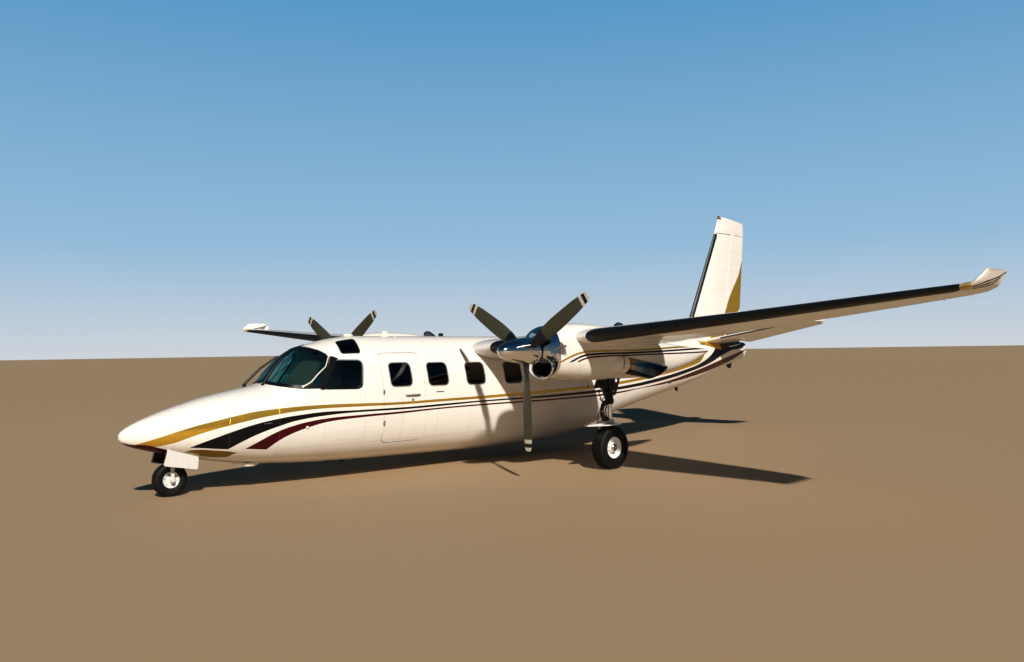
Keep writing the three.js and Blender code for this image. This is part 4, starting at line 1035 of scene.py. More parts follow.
# Cowl nose: a spun and polished metal bowl bolted ahead of the cowlings, with an oval
# intake under the spinner that has a rolled bright lip and a dark duct behind it.
polished = new_finish("polished_metal", (0.86, 0.86, 0.87, 1), 0.07, 1.0, mottle=0.06, scale=14, relief=0.02)
duct_dark = new_finish("duct_dark", (0.02, 0.02, 0.022, 1), 0.6, mottle=0.3, scale=30)
intake_z, intake_half, intake_height = 1.476, 0.198, 0.144
intake_spots = [(math.cos(i * math.tau / 48), math.sin(i * math.tau / 48)) for i in range(48)]
intake_outline = [
    Vector((nacelle_y + intake_half * c, intake_z + intake_height * s)) for c, s in intake_spots
]
intake_face = 1.897


def flat_below(mesh, face):
    """Draws the bowl's front back to a level face round the intake, smoothly up to the spinner."""
    bm = bmesh.new()
    bm.from_mesh(mesh)
    cap = max(
        (item for item in bm.faces if len(item.verts) > 4), key=lambda item: item.calc_center_median().x
    )
    bmesh.ops.poke(bm, faces=[cap])
    for vert in bm.verts:
        share = min(max((vert.co.z - 1.6) / 0.07, 0.0), 1.0)
        limit = face + (2.1 - face) * share * share * (3 - 2 * share)
        vert.co.x = min(vert.co.x, limit)
    bm.to_mesh(mesh)
    bm.free()
    return mesh


cowl_form = less(
    flat_below(nacelle(cowl_seam, cowl_front, step=0.01), intake_face),
    flat_below(nacelle(cowl_seam - 0.05, cowl_front - 0.045, -0.022, 0.01), intake_face - 0.012),
    prism(intake_outline, "YZ", 1.7, 2.1),
)
place_pair("cowl_nose", cowl_form, polished, "polished_metal", ["cowl_ring"], angle=50)


def pipe(points, radius, sides=10, closed=False, side=(0.0, 0.0, 1.0)):
    """A round bar or tube along a line of points. The radius is one value or one for each point."""
    points = [Vector(p) for p in points]
    radii = radius if isinstance(radius, (list, tuple)) else [radius] * len(points)
    sections = []
    for i, (point, reach) in enumerate(zip(points, radii)):
        before = points[i - 1] if closed or i else point
        after = points[(i + 1) % len(points)] if closed or i < len(points) - 1 else point
        along = (after - before).normalized()
        first = along.cross(Vector(side))
        if first.length < 0.1:
            first = along.cross(Vector((0.93, 0.31, 0.2)))
        first.normalize()
        second = along.cross(first)
        turn = [i * math.tau / sides for i in range(sides)]
        sections.append([point + (first * math.cos(a) + second * math.sin(a)) * reach for a in turn])
    if not closed:
        return loft(sections)
    bm = bmesh.new()
    bm.from_mesh(loft([*sections, sections[0]]))
    bmesh.ops.delete(
        bm, geom=[face for face in bm.faces if len(face.verts) == sides and sides > 4], context="FACES_ONLY"
    )
    bmesh.ops.remove_doubles(bm, verts=bm.verts, dist=1e-6)
    bmesh.ops.recalc_face_normals(bm, faces=bm.faces)
    return finished(bm)


lip_points, throat_sections = [], []
for c, s in intake_spots:
    y, z = nacelle_y + intake_half * c, intake_z + intake_height * s
    lip_points.append((intake_face - 0.001, y, z))
place_pair(
    "intake_lip", pipe(lip_points, 0.014, 14, True, (1.0, 0.0, 0.0)), polished, "polished_metal", angle=35
)
for back, shrink in ((0.0, 0.985), (-0.1, 0.9), (-0.22, 0.8), (-0.34, 0.72)):
    throat_sections.append([
        Vector((x + back, nacelle_y + (y - nacelle_y) * shrink, intake_z + (z - intake_z) * shrink))
        for x, y, z in lip_points
    ])
bm = bmesh.new()
bm.from_mesh(loft(throat_sections))
front_cap = max(
    (face for face in bm.faces if len(face.verts) > 4), key=lambda face: face.calc_center_median().x
)
bmesh.ops.delete(bm, geom=[front_cap], context="FACES_ONLY")
bmesh.ops.reverse_faces(bm, faces=bm.faces)
bmesh.ops.solidify(bm, geom=bm.faces, thickness=-0.003)
bmesh.ops.recalc_face_normals(bm, faces=bm.faces)
place_pair("intake_duct", finished(bm), duct_dark, "body_paint", angle=35)


def turned(profile, centre, axis="X", steps=48):
    """A turned body: a profile of (offset, radius) spun round an axis through the centre."""
    bm = bmesh.new()
    frame_axis = {
        "X": Vector((1.0, 0.0, 0.0)), "Y": Vector((0.0, 1.0, 0.0)), "Z": Vector((0.0, 0.0, 1.0))
    }[axis]
    out = Vector((0.0, 0.0, 1.0)) if axis != "Z" else Vector((1.0, 0.0, 0.0))
    centre = Vector(centre)
    verts = [bm.verts.new(centre + frame_axis * offset + out * radius) for offset, radius in profile]
    edges = [bm.edges.new(pair) for pair in zip(verts, verts[1:])]
    bmesh.ops.spin(
        bm, geom=verts + edges, cent=centre, axis=frame_axis, angle=math.tau, steps=steps, use_merge=True,
    )
    bmesh.ops.remove_doubles(bm, verts=bm.verts, dist=1e-5)
    bmesh.ops.dissolve_degenerate(bm, edges=bm.edges, dist=1e-6)
    bmesh.ops.recalc_face_normals(bm, faces=bm.faces)
    if bm.calc_volume(signed=True) < 0:
        bmesh.ops.reverse_faces(bm, faces=bm.faces)
    return finished(bm)


def solid(profile, centre, axis="X", steps=48):
    """A turned body with flat ends: its profile is closed square to the axis at both ends."""
    (start, _), (end, _) = profile[0], profile[-1]
    return turned([(start, 0.0), *profile, (end, 0.0)], centre, axis, steps)


def merged(*parts):
    """Several bodies of one piece in one mesh."""
    bm = bmesh.new()
    for part in parts:
        bm.from_mesh(part)
    return finished(bm)


def pin(start, end, radius, centre, axis="X", steps=48):
    """A plain round pin, boss or disc between two offsets along an axis."""
    return solid([(start, radius), (end, radius)], centre, axis, steps)


bullet = turned(
    [(0.0, 0.0), (0.0, 0.016), (0.03, 0.018), (0.05, 0.014), (0.062, 0.006), (0.064, 0.0)],
    (1.8, nacelle_y - 0.02, intake_z + 0.06)
)
place_pair("intake_bullet", bullet, duct_dark, "polished_metal", angle=35)

# Propellers: three forged light-alloy blades on each, satin olive grey with banded tips,
# clamped in a steel hub under a spun and polished spinner. The three turn as one.
# Blade station: radius, chord, thickness and pitch in degrees
blade_table = [
    (140, 92, 92, 30),
    (250, 112, 66, 27),
    (380, 165, 38, 21),
    (640, 198, 24, 11),
    (1020, 178, 15, 5),
    (1250, 130, 10, 2),
    (1312, 92, 6, 2),
]
blade_chord, blade_thick, blade_pitch = [smooth_column(blade_table, key) for key in (1, 2, 3)]
propeller_x, propeller_z = 2.19, 1.704
blade_phase, blade_count = 180.7, 3


def blade_form():
    sections = []
    radii = [0.14 + 1.05 * i / 34 for i in range(35)] + [1.215, 1.24, 1.262, 1.28, 1.293, 1.303, 1.309, 1.312]
    for radius in radii:
        turn = math.radians(blade_pitch(radius) / mm)
        chord, thick = blade_chord(radius), blade_thick(radius)
        if radius > 1.24:
            chord = blade_chord(1.24) * (
                0.52 + 0.48 * math.sqrt(max(0.0, 1 - ((radius - 1.24) / 0.072) ** 2))
            )
        ring = []
        for i in range(28):
            angle = (i + 0.5) * math.tau / 28
            across = math.cos(angle) * chord / 2
            through = math.sin(angle) * thick / 2
            ring.append(Vector((
                through * math.cos(turn) - across * math.sin(turn),
                across * math.cos(turn) + through * math.sin(turn), radius,
            )))
        sections.append(ring)
    return loft(sections)


def blade_finish():
    """Satin olive grey with pale worn leading parts and white, black and white tip bands."""
    finish, tree, shader, point, split = new_material("blade_paint")
    across = sums(tree, "SUBTRACT", sums(tree, "ABSOLUTE", split["Y"]), nacelle_y)
    up = sums(tree, "SUBTRACT", split["Z"], propeller_z)
    radius = sums(tree, "SQRT", sums(tree, "MULTIPLY_ADD", across, across, times(tree, up, up)))
    grain = noise(tree, point, 18.0, 6.0)
    shade = mixed(tree, grain, (0.085, 0.082, 0.048, 1), (0.045, 0.043, 0.026, 1))
    for start, colour in (
        (1.16, (0.62, 0.58, 0.5, 1)), (1.21, (0.012, 0.012, 0.013, 1)), (1.262, (0.62, 0.58, 0.5, 1))
    ):
        shade = mixed(tree, ramp_between(tree, radius, start, start + 0.002), shade, colour)
    shade = mixed(
        tree, ramp_between(tree, sums(tree, "MULTIPLY_ADD", grain, 0.05, radius), 0.42, 0.45),
        (0.006, 0.006, 0.006, 1), shade
    )
    chips = ramp_between(tree, noise(tree, point, 95.0, 2.0), 0.66, 0.7)
    outer = ramp_between(tree, radius, 0.5, 1.3)
    shade = mixed(tree, times(tree, times(tree, chips, outer), 0.6), shade, (0.28, 0.27, 0.25, 1))
    tree.links.new(shade, shader.inputs["Base Color"])
    tree.links.new(sums(tree, "MULTIPLY_ADD", grain, 0.25, 0.3), shader.inputs["Roughness"])
    raised(tree, shader, grain, 0.15, 0.0008)
    return finish


def turned_about_hub(mesh, angle):
    """A copy of a mesh turned about the propeller's axis by an angle in degrees."""
    other = mesh.copy()
    other.transform(Matrix.Rotation(math.radians(angle), 4, "X"))
    return other


blade_paint = blade_finish()
hub_steel = new_finish("hub_steel", (0.24, 0.24, 0.25, 1), 0.35, 0.9, scale=60)
one_blade = blade_form()
one_shank = turned(
    [(0.05, 0.0), (0.05, 0.052), (0.128, 0.052), (0.13, 0.047), (0.15, 0.047), (0.158, 0.041), (0.175, 0.0)],
    (0, 0, 0), "Z", 28
)
blades = merged(*[turned_about_hub(one_blade, blade_phase + 120 * i) for i in range(blade_count)])
hub = merged(
    solid(
        [(-0.29, 0.045), (-0.108, 0.045), (-0.108, 0.105), (-0.02, 0.11), (0.07, 0.1), (0.11, 0.08)],
        (0, 0, 0)
    ),
    *[turned_about_hub(one_shank, blade_phase + 120 * i) for i in range(blade_count)]
)

# Spinner: back plate and shell, with a cut-out round each blade root and a ring of screws
spinner_profile = [
    (0, 174), (45, 176.5), (90, 177), (130, 175.5), (170, 172), (220, 166.5), (270, 159), (325, 149.5),
    (380, 137), (425, 123.5), (470, 106), (505, 89), (535, 70), (555, 53), (570, 35), (577, 20), (580, 0),
]
spinner_back = 2.09 - propeller_x
outside = [(spinner_back + ahead * mm, radius * mm) for ahead, radius in spinner_profile]
inside = [
    (spinner_back + max(ahead - 4, 0) * mm, max(radius - 4, 0) * mm) for ahead, radius in spinner_profile
]
shell_profile = [*outside, *reversed(inside[:-1])]
spinner_form = turned([*shell_profile, shell_profile[0]], (0, 0, 0), "X", 96)
hole = pin(0.09, 0.3, 0.058, (0, 0, 0), "Z", 40)
spinner_form = less(
    spinner_form, *[turned_about_hub(hole, blade_phase + 120 * i) for i in range(blade_count)]
)
back_plate = solid(
    [(spinner_back - 0.012, 0.178), (spinner_back - 0.004, 0.181), (spinner_back + 0.003, 0.178)], (0, 0, 0),
    "X", 96
)
screw = turned([(0.1755, 0.0), (0.1755, 0.0045), (0.1785, 0.0038), (0.179, 0.0)], (0, 0, 0), "Z", 10)
screw.transform(Matrix.Translation((spinner_back + 0.02, 0, 0)))
screws = [turned_about_hub(screw, 7.5 + 15 * i) for i in range(24)]
for side, y in (("left", nacelle_y), ("right", -nacelle_y)):
    shift = Matrix.Translation((propeller_x, y, propeller_z))
    for name, form, finish, slot, node, angle in (
        ("propeller_blades", blades, blade_paint, "blade_paint", ["propeller_" + side], 60),
        ("propeller_hub", hub, hub_steel, "gear_steel", [], 35),
        ("spinner_shell", spinner_form, polished, "polished_metal", ["spinner_" + side], 35),
        ("spinner_plate", back_plate, polished, "polished_metal", [], 35),
        ("spinner_screws", merged(*screws), hub_steel, "gear_steel", [], 35),
    ):
        copy = form.copy()
        copy.transform(shift)
        place(name + "_" + side, copy, finish, slot, node, body="propeller_" + side, angle=angle)

# Fin and rudder: light-alloy sheet, white with a gold flash that sweeps up the rudder. The
# rudder's horn fills the tip, and the leading edge carries a black rubber boot.
# Section z, leading edge x, chord, unused, thickness in thousandths, then cant and incidence
fin_table = [
    (1780, -4290, 2000, 0, 100, 0, 0),
    (2360, -4572, 1770, 0, 100, 0, 0),
    (4138, -5480, 1070, 0, 95, 0, 0),
    (4440, -5600, 948, 0, 90, 0, 0),
    (4510, -5636, 900, 0, 70, 0, 0),
]
fin_rows = []
for row, below in zip(fin_table[1:], fin_table):
    fin_rows += [tuple(a + (b - a) * i / 6 for a, b in zip(below, row)) for i in range(6)]
fin_rows.append(fin_table[-1])
flash_front = [
    (6.6, 0.0), (-4.7, 1.76), (-4.93, 1.84), (-5.4, 2.1), (-5.727, 2.47), (-5.846, 2.687), (-6.043, 2.953),
    (-6.322, 3.292), (-6.469, 3.586), (-6.6, 3.9)
]
flash_rear = [(6.6, 0.0), (-5.3, 1.75), (-5.47, 1.85), (-5.9, 2.13), (-6.33, 2.53), (-6.6, 2.85)]
fin_gold = [
    (gold, lambda tree, split: stripe_mask(tree, split, flash_front, flash_rear, -6.7, -4.75, 4.0)),
    (
        black, lambda tree,
        split: stripe_mask(
            tree, split, [(6.6, 0.0), (-5.47, 1.85), (-5.9, 2.1), (-6.6, 2.6)], [(6.6, 0.0), (-6.6, 0.1)],
            -6.7, -5.5, 4.0
        )
    )
]
fin_paint = paint_finish("fin_paint", white, fin_gold, along="Z", across="X", pitches=(0.42, 0.5), dirt=0.3)
horn_z, horn_gap, rudder_bottom = 4.138, 0.016, 1.935
rudder_hinge = hinge_ends(fin_table, [(1935, 0.657), (4138, 0.537)], 0.0, True)
fin_form = foil_body(fin_rows, 0.0, True)
tip_slope = prism(
    [(-5.63, 4.512), (-6.5, 4.43), (-6.56, 4.395), (-6.7, 4.395), (-6.7, 4.7), (-5.63, 4.7)], "XZ", -0.4, 0.4
)
rudder_sweep = within(
    hinge_space(rudder_hinge, 0.032, 0.008), box((-9, -0.5, rudder_bottom - 0.008), (-3, 0.5, 4.7))
)
fin_fixed = less(within(fin_form.copy(), box((-9, -0.5, 1.7), (-3, 0.5, horn_z))), rudder_sweep)
place("fin_skin", fin_fixed, fin_paint, "body_paint", ["fin"], angle=30)
rudder_low = within(
    fin_form.copy(), hinge_space(rudder_hinge, 0.032, -0.0004),
    box((-9, -0.5, rudder_bottom), (-3, 0.5, horn_z + horn_gap + 0.005))
)
rudder_horn = less(within(fin_form.copy(), box((-9, -0.5, horn_z + horn_gap), (-3, 0.5, 4.7))), tip_slope)
place(
    "rudder_skin", together(rudder_low, rudder_horn), fin_paint, "body_paint", ["rudder"], body="rudder",
    angle=30
)
fin_boot_plan = [(-4.2, 2.02), (-4.515, 2.1), (-5.55, 4.13), (-5.2, 4.13)]
fin_boot = within(
    foil_body(fin_rows, 0.0, True, 0.0016), prism(rounded_outline(fin_boot_plan, 0.06), "XZ", -0.3, 0.3)
)
place("boot_fin", fin_boot, boot_rubber, "tyre_rubber", angle=30)

# Tailplane and elevators: light-alloy sheet canted up to the tips, with a black boot along the
# leading edge. The elevators hang a little below the tailplane when the aircraft is parked.
tailplane_table = [
    (40, -4927, 1294, 1837, 100, 9, 0),
    (300, -4960, 1240, 1882, 100, 9, 0),
    (2130, -5250, 780, 2198, 90, 9, 0),
    (2230, -5345, 640, 2215, 70, 9, 0),
]
tailplane_camber, elevator_droop = 0.005, 8.0
tail_rows = []
for row, count in zip(range(3), (3, 12, 5)):
    inner, outer = tailplane_table[row], tailplane_table[row + 1]
    tail_rows += [tuple(a + (b - a) * i / count for a, b in zip(inner, outer)) for i in range(count)]
tail_rows.append(tailplane_table[-1])
elevator_hinge = hinge_ends(tailplane_table, [(360, 0.62), (2120, 0.62)], tailplane_camber)
tailplane_form = foil_body(tail_rows, tailplane_camber)
tail_paint = paint_finish("tail_paint", white, along="Y", across="X", pitches=(0.45, 5.0), dirt=0.45)
fixed_tail = less(tailplane_form.copy(), hinge_space(elevator_hinge, moving_gap, moving_gap))
place_pair("tailplane_skin", fixed_tail, tail_paint, "body_paint", ["tailplane"], angle=30)
elevator_form = within(tailplane_form.copy(), hinge_space(elevator_hinge, 0.0, -0.0004))
start, end = elevator_hinge[0][0], elevator_hinge[1][0]
swing = Matrix.Rotation(math.radians(-elevator_droop), 4, (end - start).normalized())
elevator_form.transform(Matrix.Translation(start) @ swing @ Matrix.Translation(-start))
place_pair("elevator_skin", elevator_form, tail_paint, "body_paint", ["elevator"], body="elevator_", angle=30)
tail_boot_plan = [(-4.9, 0.42), (-4.985, 0.42), (-5.245, 2.08), (-5.1, 2.08)]
tail_boot = within(
    foil_body(tail_rows, tailplane_camber, grow=0.0016),
    prism(rounded_outline(tail_boot_plan, 0.05), "XY", 1.6, 2.4)
)
place_pair("boot_tailplane", tail_boot, boot_rubber, "tyre_rubber", angle=30)

# Glass: thick curved panes let in flush with the skin. The windscreen halves sit in a black
# frame that also covers the post to the side windows; the cabin windows have bright rims.
def glass_finish(name, colour, roughness=0.03):
    """Clear acrylic with a faint haze of fine scratches, coloured by a tint on the side and cabin windows and
    by a painted sky reflection on the windscreen.
    """
    finish, tree, shader, point, split = new_material(name)
    haze = noise(tree, point, 6.0, 6.0)
    tree.links.new(
        mixed(tree, haze, colour, tuple(c * 0.86 for c in colour[:3]) + (1,)), shader.inputs["Base Color"]
    )
    tree.links.new(sums(tree, "MULTIPLY_ADD", haze, 0.03, roughness), shader.inputs["Roughness"])
    dial(shader, {"Transmission Weight": 1.0, "IOR": 1.45, "Coat Weight": 0.5})
    return finish


def skin_layer(from_x, to_x, outer, inner, step=0.05):
    """A layer of the fuselage's skin between two depths, positive outwards."""
    return less(hull(from_x, to_x, outer, step), hull(from_x - 0.1, to_x + 0.1, inner, step))


# The windscreen glass is coloured strong cyan as a painted reflection of the blue sky, not a tint of its own
pane_glass_painted_sky = glass_finish("pane_glass_painted_sky", (0.38, 0.86, 0.95, 1))
side_glass = glass_finish("side_glass", (0.32, 0.36, 0.36, 1))
cabin_glass = glass_finish("cabin_glass", (0.035, 0.04, 0.042, 1))
frame_black = new_finish("frame_black", (0.003, 0.003, 0.004, 1), 0.35, mottle=0.3, scale=90)
rim_metal = new_finish("rim_metal", (0.78, 0.77, 0.74, 1), 0.25, 0.6, mottle=0.1, scale=60)
glass_front = [Vector(p) for p in [
    (0.062, 1.9), (0.062, 1.372), (0.17, 1.357), (0.33, 1.342), (0.472, 1.326), (0.569, 1.306),
    (0.64, 1.298), (0.72, 1.295), (0.72, 1.9),
]]
glass_side = [Vector(p) for p in [
    (4.262, 1.28), (4.95, 1.28), (4.95, 1.83), (4.4, 1.83), (4.3, 1.772), (4.199, 1.752), (4.125, 1.706),
    (4.085, 1.665), (4.082, 1.622), (4.133, 1.50),
]]
windscreen_glass = within(
    prism(rounded_outline(glass_front, 0.04), "YZ", 3.9, 4.94),
    prism(rounded_outline(glass_side, 0.03), "XZ", 0.0, 0.8)
)
place_pair(
    "windscreen_pane", within(skin_layer(3.95, 4.94, -0.007, -0.014), windscreen_space(0.002)), pane_glass_painted_sky,
    "window_glass", ["windscreen"], angle=30
)
windscreen_frame = less(
    within(skin_layer(3.95, 4.94, 0.001, -0.006), windscreen_space(0.0006)), windscreen_glass
)
place_pair("windscreen_frame", windscreen_frame, frame_black, "instrument_panel", angle=30)
centre_strip = within(
    skin_layer(4.15, 4.83, 0.0035, -0.004),
    prism([(-0.034, 1.33), (0.034, 1.33), (0.034, 1.9), (-0.034, 1.9)], "YZ", 4.1, 4.84)
)
place("windscreen_centre_strip", centre_strip, frame_black, "instrument_panel", angle=30)
post_outline = [
    (4.245, 1.236), (4.235, 1.256), (4.10, 1.50), (4.015, 1.655), (4.0, 1.676), (3.96, 1.668), (3.90, 1.64),
    (3.92, 1.622), (4.0, 1.545), (4.176, 1.262), (4.176, 1.236)
]
post_cover = within(skin_layer(3.85, 4.35, 0.0016, -0.002), prism(post_outline, "XZ", 0.1, 0.9))
place_pair("screen_post", post_cover, frame_black, "instrument_panel", angle=30)
side_pane = within(
    skin_layer(3.5, 4.35, -0.006, -0.014), prism(grown(side_window_outline, -0.0004), "XZ", 0.0, 1.0)
)
place_pair("side_pane", side_pane, side_glass, "window_glass", ["cockpit_window"], angle=30)
eyebrow_pane = within(
    skin_layer(3.45, 3.9, -0.006, -0.014), prism(grown(eyebrow_outline, -0.0004), "XY", 1.5, 2.1)
)
place_pair("eyebrow_pane", eyebrow_pane, cabin_glass, "window_glass", ["eyebrow_window"], angle=30)


def rim_of(outline, plane, reach, depths, width, from_x, to_x, proud=0.0022):
    """A thin frame that stands a little proud of the skin round an opening."""
    rim = less(prism(grown(outline, width), plane, *reach), prism(grown(outline, -0.003), plane, *depths))
    return within(skin_layer(from_x, to_x, proud, -0.004), rim)


side_rim = rim_of(side_window_outline, "XZ", (0.1, 0.9), (0.05, 1.0), 0.012, 3.4, 4.4)
light_part = prism(
    [(3.4, 1.2), (3.63, 1.2), (3.63, 1.58), (3.93, 1.61), (3.93, 1.7), (3.4, 1.7)], "XZ", 0.1, 0.9
)
place_pair("side_window_rim", within(side_rim.copy(), light_part), rim_metal, "body_paint", angle=30)
place_pair("side_window_seal", less(side_rim, light_part), frame_black, "instrument_panel", angle=30)
eyebrow_rim = rim_of(eyebrow_outline, "XY", (1.5, 2.1), (1.4, 2.2), 0.014, 3.4, 4.0)
place_pair("eyebrow_rim", eyebrow_rim, frame_black, "instrument_panel", angle=30)
cabin_panes, cabin_rims = [], []
for centre in window_centres:
    outline = window_outline(centre)
    at = centre[0]
    cabin_panes.append(
        within(skin_layer(at - 0.3, at + 0.3, -0.006, -0.013), prism(grown(outline, -0.0005), "XZ", 0.1, 0.9))
    )
    cabin_rims.append(rim_of(outline, "XZ", (0.1, 0.9), (0.05, 1.0), 0.011, at - 0.3, at + 0.3))
carrier = within(skin_layer(0.5, 3.3, -0.0505, -0.056, 0.1), box((0.72, 0.1, 1.18), (3.207, 0.9, 1.59)))
inner_holes = [prism(grown(window_outline(centre), -0.012), "XZ", 0.05, 1.0) for centre in window_centres]
carrier = less(carrier, *inner_holes)
carrier_left = within(carrier.copy(), box((0.7, 0.0, 1.1), (2.566, 1.0, 1.7)))
place(
    "cabin_panes_left", merged(*cabin_panes[1:]), cabin_glass, "window_glass", ["cabin_glazing_left"],
    angle=30
)
place(
    "cabin_panes_right", mirrored(merged(*cabin_panes)), cabin_glass, "window_glass", ["cabin_glazing_right"],
    angle=30
)
place("window_lining_left", carrier_left, lining, "carpet", angle=30)
place("window_lining_right", mirrored(carrier), lining, "carpet", angle=30)
place("door_pane", cabin_panes[0], cabin_glass, "window_glass", ["door_window"], body="cabin_door", angle=30)
place("cabin_rims_left", merged(*cabin_rims[1:]), rim_metal, "body_paint", angle=30)
place("cabin_rims_right", mirrored(merged(*cabin_rims)), rim_metal, "body_paint", angle=30)
place("door_rim", cabin_rims[0], rim_metal, "body_paint", body="cabin_door", angle=30)

# Exhausts: a wide stainless tube on the outer side of each nacelle, blued and browned by
# heat and sooted inside, cut on a slant at its end and let into a painted fairing.
def heat_finish():
    """Bare steel with heat tints from straw through blue to brown, darker towards the outlet."""
    finish, tree, shader, point, split = new_material("heated_steel")
    wander = sums(tree, "MULTIPLY_ADD", noise(tree, point, 4.0, 4.0), 0.07, split["X"])
    shade = (0.42, 0.24, 0.06, 1)
    for start, colour in (
        (0.47, (0.46, 0.42, 0.34, 1)), (0.40, (0.16, 0.26, 0.33, 1)), (0.24, (0.08, 0.13, 0.18, 1)),
        (0.0, (0.03, 0.03, 0.035, 1))
    ):
        ahead = ramp_between(tree, wander, start + 0.02, start + 0.14)
        shade = mixed(tree, ahead, colour, shade)
    soot = ramp_between(tree, noise(tree, point, 9.0, 5.0), 0.45, 0.75)
    shade = mixed(tree, times(tree, soot, 0.25), shade, (0.02, 0.017, 0.015, 1))
    tree.links.new(shade, shader.inputs["Base Color"])
    shader.inputs["Metallic"].default_value = 1.0
    tree.links.new(sums(tree, "MULTIPLY_ADD", soot, 0.12, 0.13), shader.inputs["Roughness"])
    return finish


heated_steel = heat_finish()
soot_black = new_finish("soot_black", (0.012, 0.011, 0.01, 1), 0.85, mottle=0.4, scale=20)
exhaust_start, exhaust_end = Vector(
    (0.62, nacelle_y + 0.2616, 1.4988)
), Vector((-0.42, nacelle_y + 0.32, 1.312))
exhaust_radius, exhaust_wall = 0.123, 0.004


def exhaust_tube(from_share, to_share, radius, sides=48):
    span = exhaust_end - exhaust_start
    line = [exhaust_start + span * (from_share + (to_share - from_share) * i / 8) for i in range(9)]
    return pipe(line, radius, sides)


slant_cut = prism([(0.211, 1.2), (-0.614, 1.6), (-1.3, 1.6), (-1.3, 1.2)], "XZ", 0.0, 4.0)
bore = exhaust_tube(0.0, 1.2, exhaust_radius - exhaust_wall)
bore.materials.append(soot_black)
tube = exhaust_tube(0.0, 1.0, exhaust_radius)
tube.materials.append(heated_steel)
rolled_edge = less(
    exhaust_tube(0.5, 1.0, exhaust_radius + 0.004),
    exhaust_tube(0.4, 1.2, exhaust_radius - exhaust_wall),
    prism([(0.223, 1.2), (-0.602, 1.6), (1.6, 1.6), (1.6, 1.2)], "XZ", 0.0, 4.0), slant_cut.copy(),
)
place_pair(
    "exhaust_tube", less(tube, bore, slant_cut, nacelle(-1.8, cowl_seam, -0.03)), heated_steel,
    "exhaust_steel", ["exhaust"], angle=35
)
place_pair("exhaust_edge", rolled_edge, heated_steel, "exhaust_steel", angle=35)
fairing_line = [
    (0.86, nacelle_y + 0.21, 1.53), (0.74, nacelle_y + 0.245, 1.515), (0.62, nacelle_y + 0.262, 1.499),
    (0.4, nacelle_y + 0.273, 1.459)
]
fairing = less(
    pipe(fairing_line, [0.1, 0.122, 0.131, 0.131], 48), exhaust_tube(-0.05, 1.0, 0.1262),
    prism([(0.545, 1.7), (0.608, 1.2), (-0.2, 1.2), (-0.2, 1.7)], "XZ", 2.0, 3.2),
)
place_pair("exhaust_fairing", fairing, nacelle_paint, "body_paint")

# Main wheels: two-piece cast alloy hubs, painted white, with through bolts and a bearing cap;
# ribbed black tyres and a steel brake disc inside.
def tyre_finish():
    """Black rubber, dusty on the tread and cleaner on the walls, with fine mould rings."""
    finish, tree, shader, point, split = new_material("tyre_rubber")
    dust = noise(tree, point, 14.0, 5.0)
    dusty = ramp_between(tree, dust, 0.45, 0.8)
    tree.links.new(
        mixed(tree, times(tree, dusty, 0.7), (0.004, 0.004, 0.004, 1), (0.026, 0.022, 0.018, 1)),
        shader.inputs["Base Color"]
    )
    tree.links.new(sums(tree, "MULTIPLY_ADD", dusty, 0.25, 0.6), shader.inputs["Roughness"])
    shader.inputs["Specular IOR Level"].default_value = 0.3
    raised(tree, shader, noise(tree, point, 260.0, 3.0), 0.3, 0.0012)
    return finish


def ribbed_tyre(radius, rim, width, grooves, groove_deep):
    """A tyre's outline, spun about its axle: round shoulders and grooves round the tread."""
    half, tall = width / 2, radius - rim
    side = [
        (0.72, 0.0), (0.80, 0.03), (0.86, 0.10), (0.93, 0.22), (0.985, 0.36), (1.0, 0.48), (0.99, 0.60),
        (0.955, 0.72), (0.90, 0.81), (0.82, 0.885), (0.72, 0.94), (0.62, 0.965)
    ]
    tread_half, fall, seat = 0.56, 0.035, rim + 0.001
    profile = [(-across * half, seat + up * tall) for across, up in side]
    for at in grooves:
        crown = radius - fall * tall * (abs(at) / tread_half) ** 2
        middle, groove_half, floor_half = at * half, 0.0045, 0.0045 * 0.7
        profile += [(middle - groove_half, crown), (middle - floor_half, crown - groove_deep)]
        profile += [(middle + floor_half, crown - groove_deep), (middle + groove_half, crown)]
    profile += [(across * half, seat + up * tall) for across, up in reversed(side)]
    return [*profile, profile[0]]


def hub_profile(rim, bore, width, dished=True):
    """A wheel's outline, spun about its axle: a dished outer face, or a flat one on both sides."""
    half = width / 2 * 0.72
    flat_side = [
        (half, rim), (half, rim - 0.006), (half * 0.93, rim - 0.01), (half * 0.8, rim * 0.84),
        (half * 0.76, rim * 0.8), (half * 0.76, rim * 0.34), (half * 0.92, rim * 0.3), (half * 0.94, bore)
    ]
    outer_side = flat_side if not dished else [
        (half, rim), (half, rim - 0.006), (half - 0.006, rim - 0.012), (half * 0.7, rim - 0.02),
        (half * 0.42, rim * 0.80), (half * 0.36, rim * 0.68), (half * 0.42, rim * 0.52),
        (half * 0.86, rim * 0.42), (half * 0.9, rim * 0.36), (half * 0.9, bore)
    ]
    profile = [(-across, reach) for across, reach in reversed(outer_side)] + outer_side
    return [*profile, profile[0]]


tyre_black = tyre_finish()
hub_white = new_finish("hub_white", (0.78, 0.77, 0.74, 1), 0.32, mottle=0.12, scale=24)
brake_steel = new_finish("brake_steel", (0.30, 0.29, 0.28, 1), 0.4, 1.0, mottle=0.3, scale=90)
gear_white = new_finish("gear_white", (0.74, 0.72, 0.68, 1), 0.35, mottle=0.15, scale=18)
gear_dark = new_finish("gear_dark", (0.014, 0.014, 0.016, 1), 0.4, mottle=0.4, scale=40)
bright_steel = new_finish("bright_steel", (0.72, 0.74, 0.78, 1), 0.14, 1.0, mottle=0.1, scale=30, relief=0.03)


def around(centre, reach, angle):
    """A spot beside an axle, at a reach and an angle round it."""
    return (centre[0] + reach * math.cos(angle), centre[1], centre[2] + reach * math.sin(angle))


